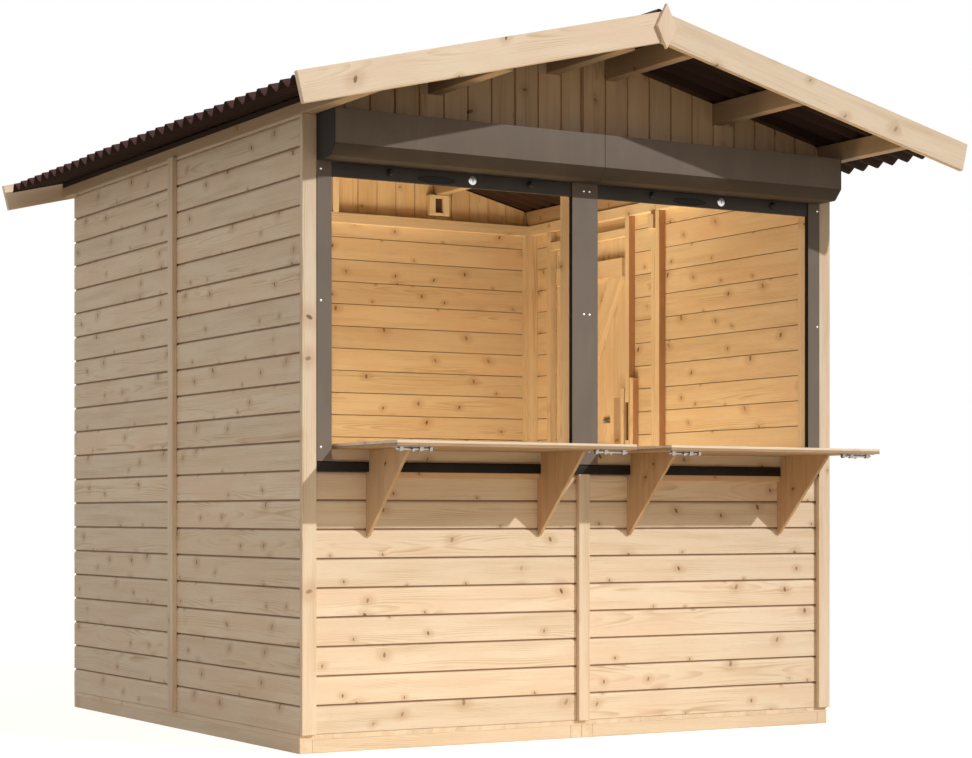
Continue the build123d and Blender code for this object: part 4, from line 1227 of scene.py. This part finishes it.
def barrel_bolt(shapes, place, length, finish):
    """A barrel bolt on its plate: x along the bolt, z out of the face."""
    half = length / 2
    for x0, x1, wide in ((-half, half * 0.72, 0.013), (half * 0.80, half, 0.011)):
        shapes.take(bar(2, 0, oblong(x0, x1, -wide, wide), 0.0015, finish, 0.0004), place)
    rod = turned([(0.0, -half * 0.85), (0.0042, -half * 0.85), (0.0048, -half * 0.82), (0.0048, half * 0.94),
                  (0.0030, half * 0.98), (0.0, half * 0.98)], finish, 12)
    shapes.take(rod, place @ at((0, 0, 0.0075), (1, 0, 0), (0, 0, 1)))
    for x, wide in ((-half * 0.62, 0.014), (half * 0.40, 0.014), (half * 0.90, 0.010)):
        shapes.take(bar(0, x - wide / 2, HOOP, wide, finish, 0.0003), place)
    shapes.take(turned([(0.0, 0.0), (0.0034, 0.0), (0.0030, 0.010), (0.0052, 0.013), (0.0052, 0.017),
                        (0.0, 0.019)], finish, 12),
                place @ at((-half * 0.1, 0.003, 0.0075), (0, 1, 0.3), (0, 0, 1)))
    for x in (-half * 0.90, -half * 0.35, half * 0.14, half * 0.64):
        for y in (-0.0095, 0.0095):
            shapes.take(SCREW_HEAD, place @ Matrix.Translation((x, y, 0.0013)) @ Matrix.Scale(0.6, 4), finish)


SHELF_UNDER = 0.994
SEAM_GAP = 0.0002
seam_z = FOOT_Z + (FOOT_Y - SEAM_Y) * (NOSE_Z - FOOT_Z) / (FOOT_Y - NOSE_Y)
root = [(FRONT_FACE, FOOT_Z), (FOOT_Y, FOOT_Z), (SEAM_Y + SEAM_GAP, seam_z), (SEAM_Y + SEAM_GAP, SHELF_UNDER),
        (-0.912, SHELF_UNDER), (-0.912, TRIM_BOTTOM), (FRONT_FACE, TRIM_BOTTOM)]
tip = [(SEAM_Y - SEAM_GAP, seam_z), (NOSE_Y, NOSE_Z), (NOSE_Y, SHELF_UNDER), (SEAM_Y - SEAM_GAP, SHELF_UNDER)]
for name, seed in (("left", 141), ("right", 142)):
    arms = Timbers("brackets_" + name, seed)
    for x in BRACKETS[name]:
        for section in (root, tip):
            arms.sawn(0, x, section, BRACKET_T, grain=(0, 0, 1), arris=0.0008)
    x0, x1 = BRACKETS[name]
    arms.box((x0 + BRACKET_T + 0.0003, -0.908, 0.901), (x1 - 0.0003, -0.8902, 0.921), arris=0.001)
    settle(arms.build(shaded_bracket_boards), "counter_boards", "counter_support_" + name)
    bolts = Shapes("shelf_bolts_" + name)
    c0, c1 = COUNTERS[name]
    for x in (c0 + 0.075, c1 - 0.075):
        place = at((x, -1.300, SHELF_UNDER), (0, 0, -1), (0, 1 if x > 0.5 * (c0 + c1) else -1, 0))
        barrel_bolt(bolts, place, 0.140, bolt_steel)
    settle(bolts.build(), "hinge_steel", "counter_support_" + name)

# ---- door ---------------------------------------------------------------------------
# Upright tongued and grooved boards held by three ledges and two braces nailed across
# their inside. Two upright blocks stand beside the lock edge, and a barrel bolt holds
# the door from inside.
leaf_low, leaf_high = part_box("door_leaf")
DOOR_Y = (leaf_low.y, leaf_high.y)
DOOR_Z = (leaf_low.z, leaf_high.z)
DOOR_FACE = leaf_high.x
LEAF_IN = DOOR_FACE - CLAD_T
DOOR_PITCH = 0.094
DOOR_SECTION = [
    (0.0020, -0.0020), (0.0040, 0.0000), (0.0900, 0.0000), (0.0920, -0.0020), (0.0920, -0.0070),
    (0.0970, -0.0070), (0.0970, -0.0120), (0.0932, -0.0120), (0.0932, -CLAD_T + 0.002), (0.0912, -CLAD_T),
    (0.0020, -CLAD_T), (0.0002, -CLAD_T + 0.002), (0.0002, -0.0124), (0.0020, -0.0124),
]
door_boards = spruce("door_spruce", *WALL_TONES)
door = Timbers("door_boards", 151)
first_y = 0.583 + 5 * DOOR_PITCH
lay(door, DOOR_SECTION, facing((DOOR_FACE, first_y, DOOR_Z[0]), (0, 0, 1), (1, 0, 0)), door_boards,
    Length=DOOR_Z[1] - DOOR_Z[0], Pitch=DOOR_PITCH, Count=8,
    Low=first_y - DOOR_Y[1], High=first_y - DOOR_Y[0], Seed=1511)
LEDGE_Y = (0.424, 0.945)
LEDGE_Z = (0.179, 0.985, 1.791)
LEDGE_H = 0.080
LEDGE_T = 0.022
for z in LEDGE_Z:
    door.box((LEAF_IN - LEDGE_T, LEDGE_Y[0], z), (LEAF_IN - 0.0002, LEDGE_Y[1], z + LEDGE_H), arris=0.002)
for z0, z1 in ((LEDGE_Z[0] + LEDGE_H, LEDGE_Z[1]), (LEDGE_Z[1] + LEDGE_H, LEDGE_Z[2])):
    z0, z1 = z0 + 0.0004, z1 - 0.0004
    foot = LEDGE_H * math.hypot(LEDGE_Y[1] - LEDGE_Y[0], z1 - z0) / (z1 - z0)
    brace = [(LEDGE_Y[1] - foot, z0), (LEDGE_Y[1], z0), (LEDGE_Y[0] + foot, z1), (LEDGE_Y[0], z1)]
    door.sawn(0, LEAF_IN - LEDGE_T, brace, LEDGE_T - 0.0002,
              grain=(0, LEDGE_Y[0] - LEDGE_Y[1] + foot, z1 - z0), arris=0.002)
BLOCK_LOW = LEDGE_Z[1] + LEDGE_H + 0.001
for deep, y0, y1, top in ((0.030, 0.399, 0.4235, 1.316), (0.063, 0.4240, 0.4520, 1.274)):
    door.box((LEAF_IN - deep, y0, BLOCK_LOW), (LEAF_IN - 0.0002, y1, top))
settle(door.build(door_boards), "door_boards", "door_leaf", body="door")

door_bolt = Shapes("door_bolt")
barrel_bolt(door_bolt, at((LEAF_IN - 0.0002, 0.520, 1.186), (-1, 0, 0)), 0.150, bolt_steel)
settle(door_bolt.build(), "hinge_steel", "door_leaf", body="door")

# ---- hinges -------------------------------------------------------------------------
# Two long strap hinges of zinc-plated steel outside on the door, turning on pins that
# stand on plates beside the doorway. The straps are held by round-head bolts.
hinge_steel = zinc("hinge_zinc", (0.62, 0.62, 0.63), 0.34, 180.0)
for node in ("hinge_pin_lower", "hinge_pin_upper", "hinge_strap_lower", "hinge_strap_upper"):
    for item in bpy.data.objects:
        if item.type == "MESH" and node in item.name:
            item.data.materials.clear()
            item.data.materials.append(hinge_steel)
bolt_heads = Shapes("strap_bolts")
for z in (0.219, 1.779):
    for y in (0.68, 0.78, 0.88):
        bolt_heads.take(turned([(0.0, 0.0034), (0.0030, 0.0032), (0.0060, 0.0020), (0.0078, 0.0), (0.0, -0.0006)],
                               hinge_steel, 16),
                        at((DOOR_FACE + 0.003, y, z), (1, 0, 0)))
settle(bolt_heads.build(), "hinge_steel", body="door")

# ---- nails --------------------------------------------------------------------------
# Small lost-head nails hold every cladding board to the studs and plates, two to a
# board, punched just level with the face and a little darker than the wood.
nail_iron = zinc("nail_iron", (0.42, 0.40, 0.38), 0.45, 300.0)
wall_nails = Shapes("wall_nails")
NAIL_HEIGHTS = (0.024, 0.066)  # above each board's lower edge
rows = [FIRST_BOARD + n * BOARD_PITCH + z for n in range(BOARD_ROWS) for z in NAIL_HEIGHTS]
SIDE_NAILS = (-0.850, 0.131, 0.195, 1.176)
END_NAILS = (-1.04, -0.032, 0.032, 1.04)
for columns, top, place, seed in (
    ([-y for y in SIDE_NAILS], WALL_TOP, at((-WALL_RIGHT, 0, 0), (-1, 0, 0)), 160),
    (SIDE_NAILS, WALL_TOP, at((WALL_RIGHT, 0, 0), (1, 0, 0)), 162),
    (END_NAILS[1:3], TRIM_BOTTOM, at((0, FRONT_FACE, 0), (0, -1, 0)), 165),
    ([-x for x in END_NAILS], WALL_TOP, at((0, BACK_FACE, 0), (0, 1, 0)), 166),
):
    flat = [(column, z, 0.0) for z in rows for column in columns if z < top - 0.004]
    wall_nails.take(nailed(flat, nail_iron, 0.0019, 0.0005, seed), place)
settle(wall_nails.build(), "wall_boards")

# ---- studio -------------------------------------------------------------------------
# A pale sand floor that takes the hut's shadow and fades into the white background, a
# sun from the front right, soft boxes low on the left and in front, and two inside
# that stand for the daylight thrown up by the hut's floor.
floor_material, g = new_finish("studio_floor")
rays = g.add("ShaderNodeLightPath")
plain = g.add("ShaderNodeBsdfDiffuse", {}, {"Color": (0.52, 0.42, 0.30, 1.0)})
glow = g.add("ShaderNodeEmission", {}, {"Color": (1.0, 1.0, 1.0, 1.0), "Strength": 0.84})
both = g.add("ShaderNodeAddShader", {}, {0: plain, 1: glow})
white = rays.out("Is Camera Ray").most(rays.out("Is Glossy Ray")).most(rays.out("Is Transmission Ray"))
seen = g.add("ShaderNodeMixShader", {}, {0: white, 1: plain, 2: both})
g.add("ShaderNodeOutputMaterial", {}, {"Surface": seen})
ground = bpy.data.meshes.new("studio_floor")
rim = [(30 * math.cos(2 * math.pi * i / 64), 30 * math.sin(2 * math.pi * i / 64), 0.0) for i in range(64)]
ground.from_pydata(rim, [], [list(range(64))])
ground.materials.append(floor_material)
floor = bpy.data.objects.new("studio_floor", ground)
scene.collection.objects.link(floor)

sun = bpy.data.lights.new("sun", "SUN")
sun.energy = 2.08
sun.angle = math.radians(1.0)
sun.color = (1.0, 0.985, 0.955)
sun_lamp = bpy.data.objects.new("sun", sun)
sun_lamp.rotation_euler = Vector((-0.520, 1.0, -0.575)).to_track_quat("-Z", "Y").to_euler()
scene.collection.objects.link(sun_lamp)

for name, energy, colour, spot, aim, size, spread in (
    ("room_glow", 30.0, (1.0, 0.83, 0.50), (-0.20, 0.12, 0.10), (0, 0, 1), (1.5, 0.7), 180),
    ("roof_glow", 17.0, (1.0, 0.83, 0.52), (0.00, 0.22, 1.00), (0, 0, 1), (1.2, 0.5), 96),
    ("side_box", 16.0, (0.95, 0.98, 1.0), (-5.2, 0.6, 0.75), (1, 0, 0.05), (3.0, 1.2), 180),
    ("front_box", 4.0, (1.0, 0.82, 0.56), (-0.6, -2.9, 0.14), (0, 1, 0.02), (3.0, 0.2), 70),
):
    panel = bpy.data.lights.new(name, "AREA")
    panel.shape = "RECTANGLE"
    panel.size, panel.size_y = size
    panel.energy, panel.color, panel.spread = energy, colour, math.radians(spread)
    lamp = bpy.data.objects.new(name, panel)
    lamp.location = spot
    lamp.rotation_euler = Vector(aim).to_track_quat("-Z", "Y").to_euler()
    lamp.visible_camera = False
    scene.collection.objects.link(lamp)

world = bpy.data.worlds.new("soft_sky")
world.use_nodes = True
world.node_tree.nodes.clear()
g = Graph(world.node_tree)
rays = g.add("ShaderNodeLightPath")
white = rays.out("Is Camera Ray").most(rays.out("Is Glossy Ray")).most(rays.out("Is Transmission Ray"))
sky = g.add("ShaderNodeBackground", {}, {"Color": (0.97, 0.98, 1.0, 1.0), "Strength": 0.46})
backdrop = g.add("ShaderNodeBackground", {}, {"Color": (1.0, 1.0, 1.0, 1.0), "Strength": 1.0})
g.add("ShaderNodeOutputWorld", {}, {"Surface": g.add("ShaderNodeMixShader", {}, {0: white, 1: sky, 2: backdrop})})
scene.world = world
scene.view_settings.view_transform = "Standard"

# ---- size ---------------------------------------------------------------------------
# The extent of the imported hut.
low, high = cad_box
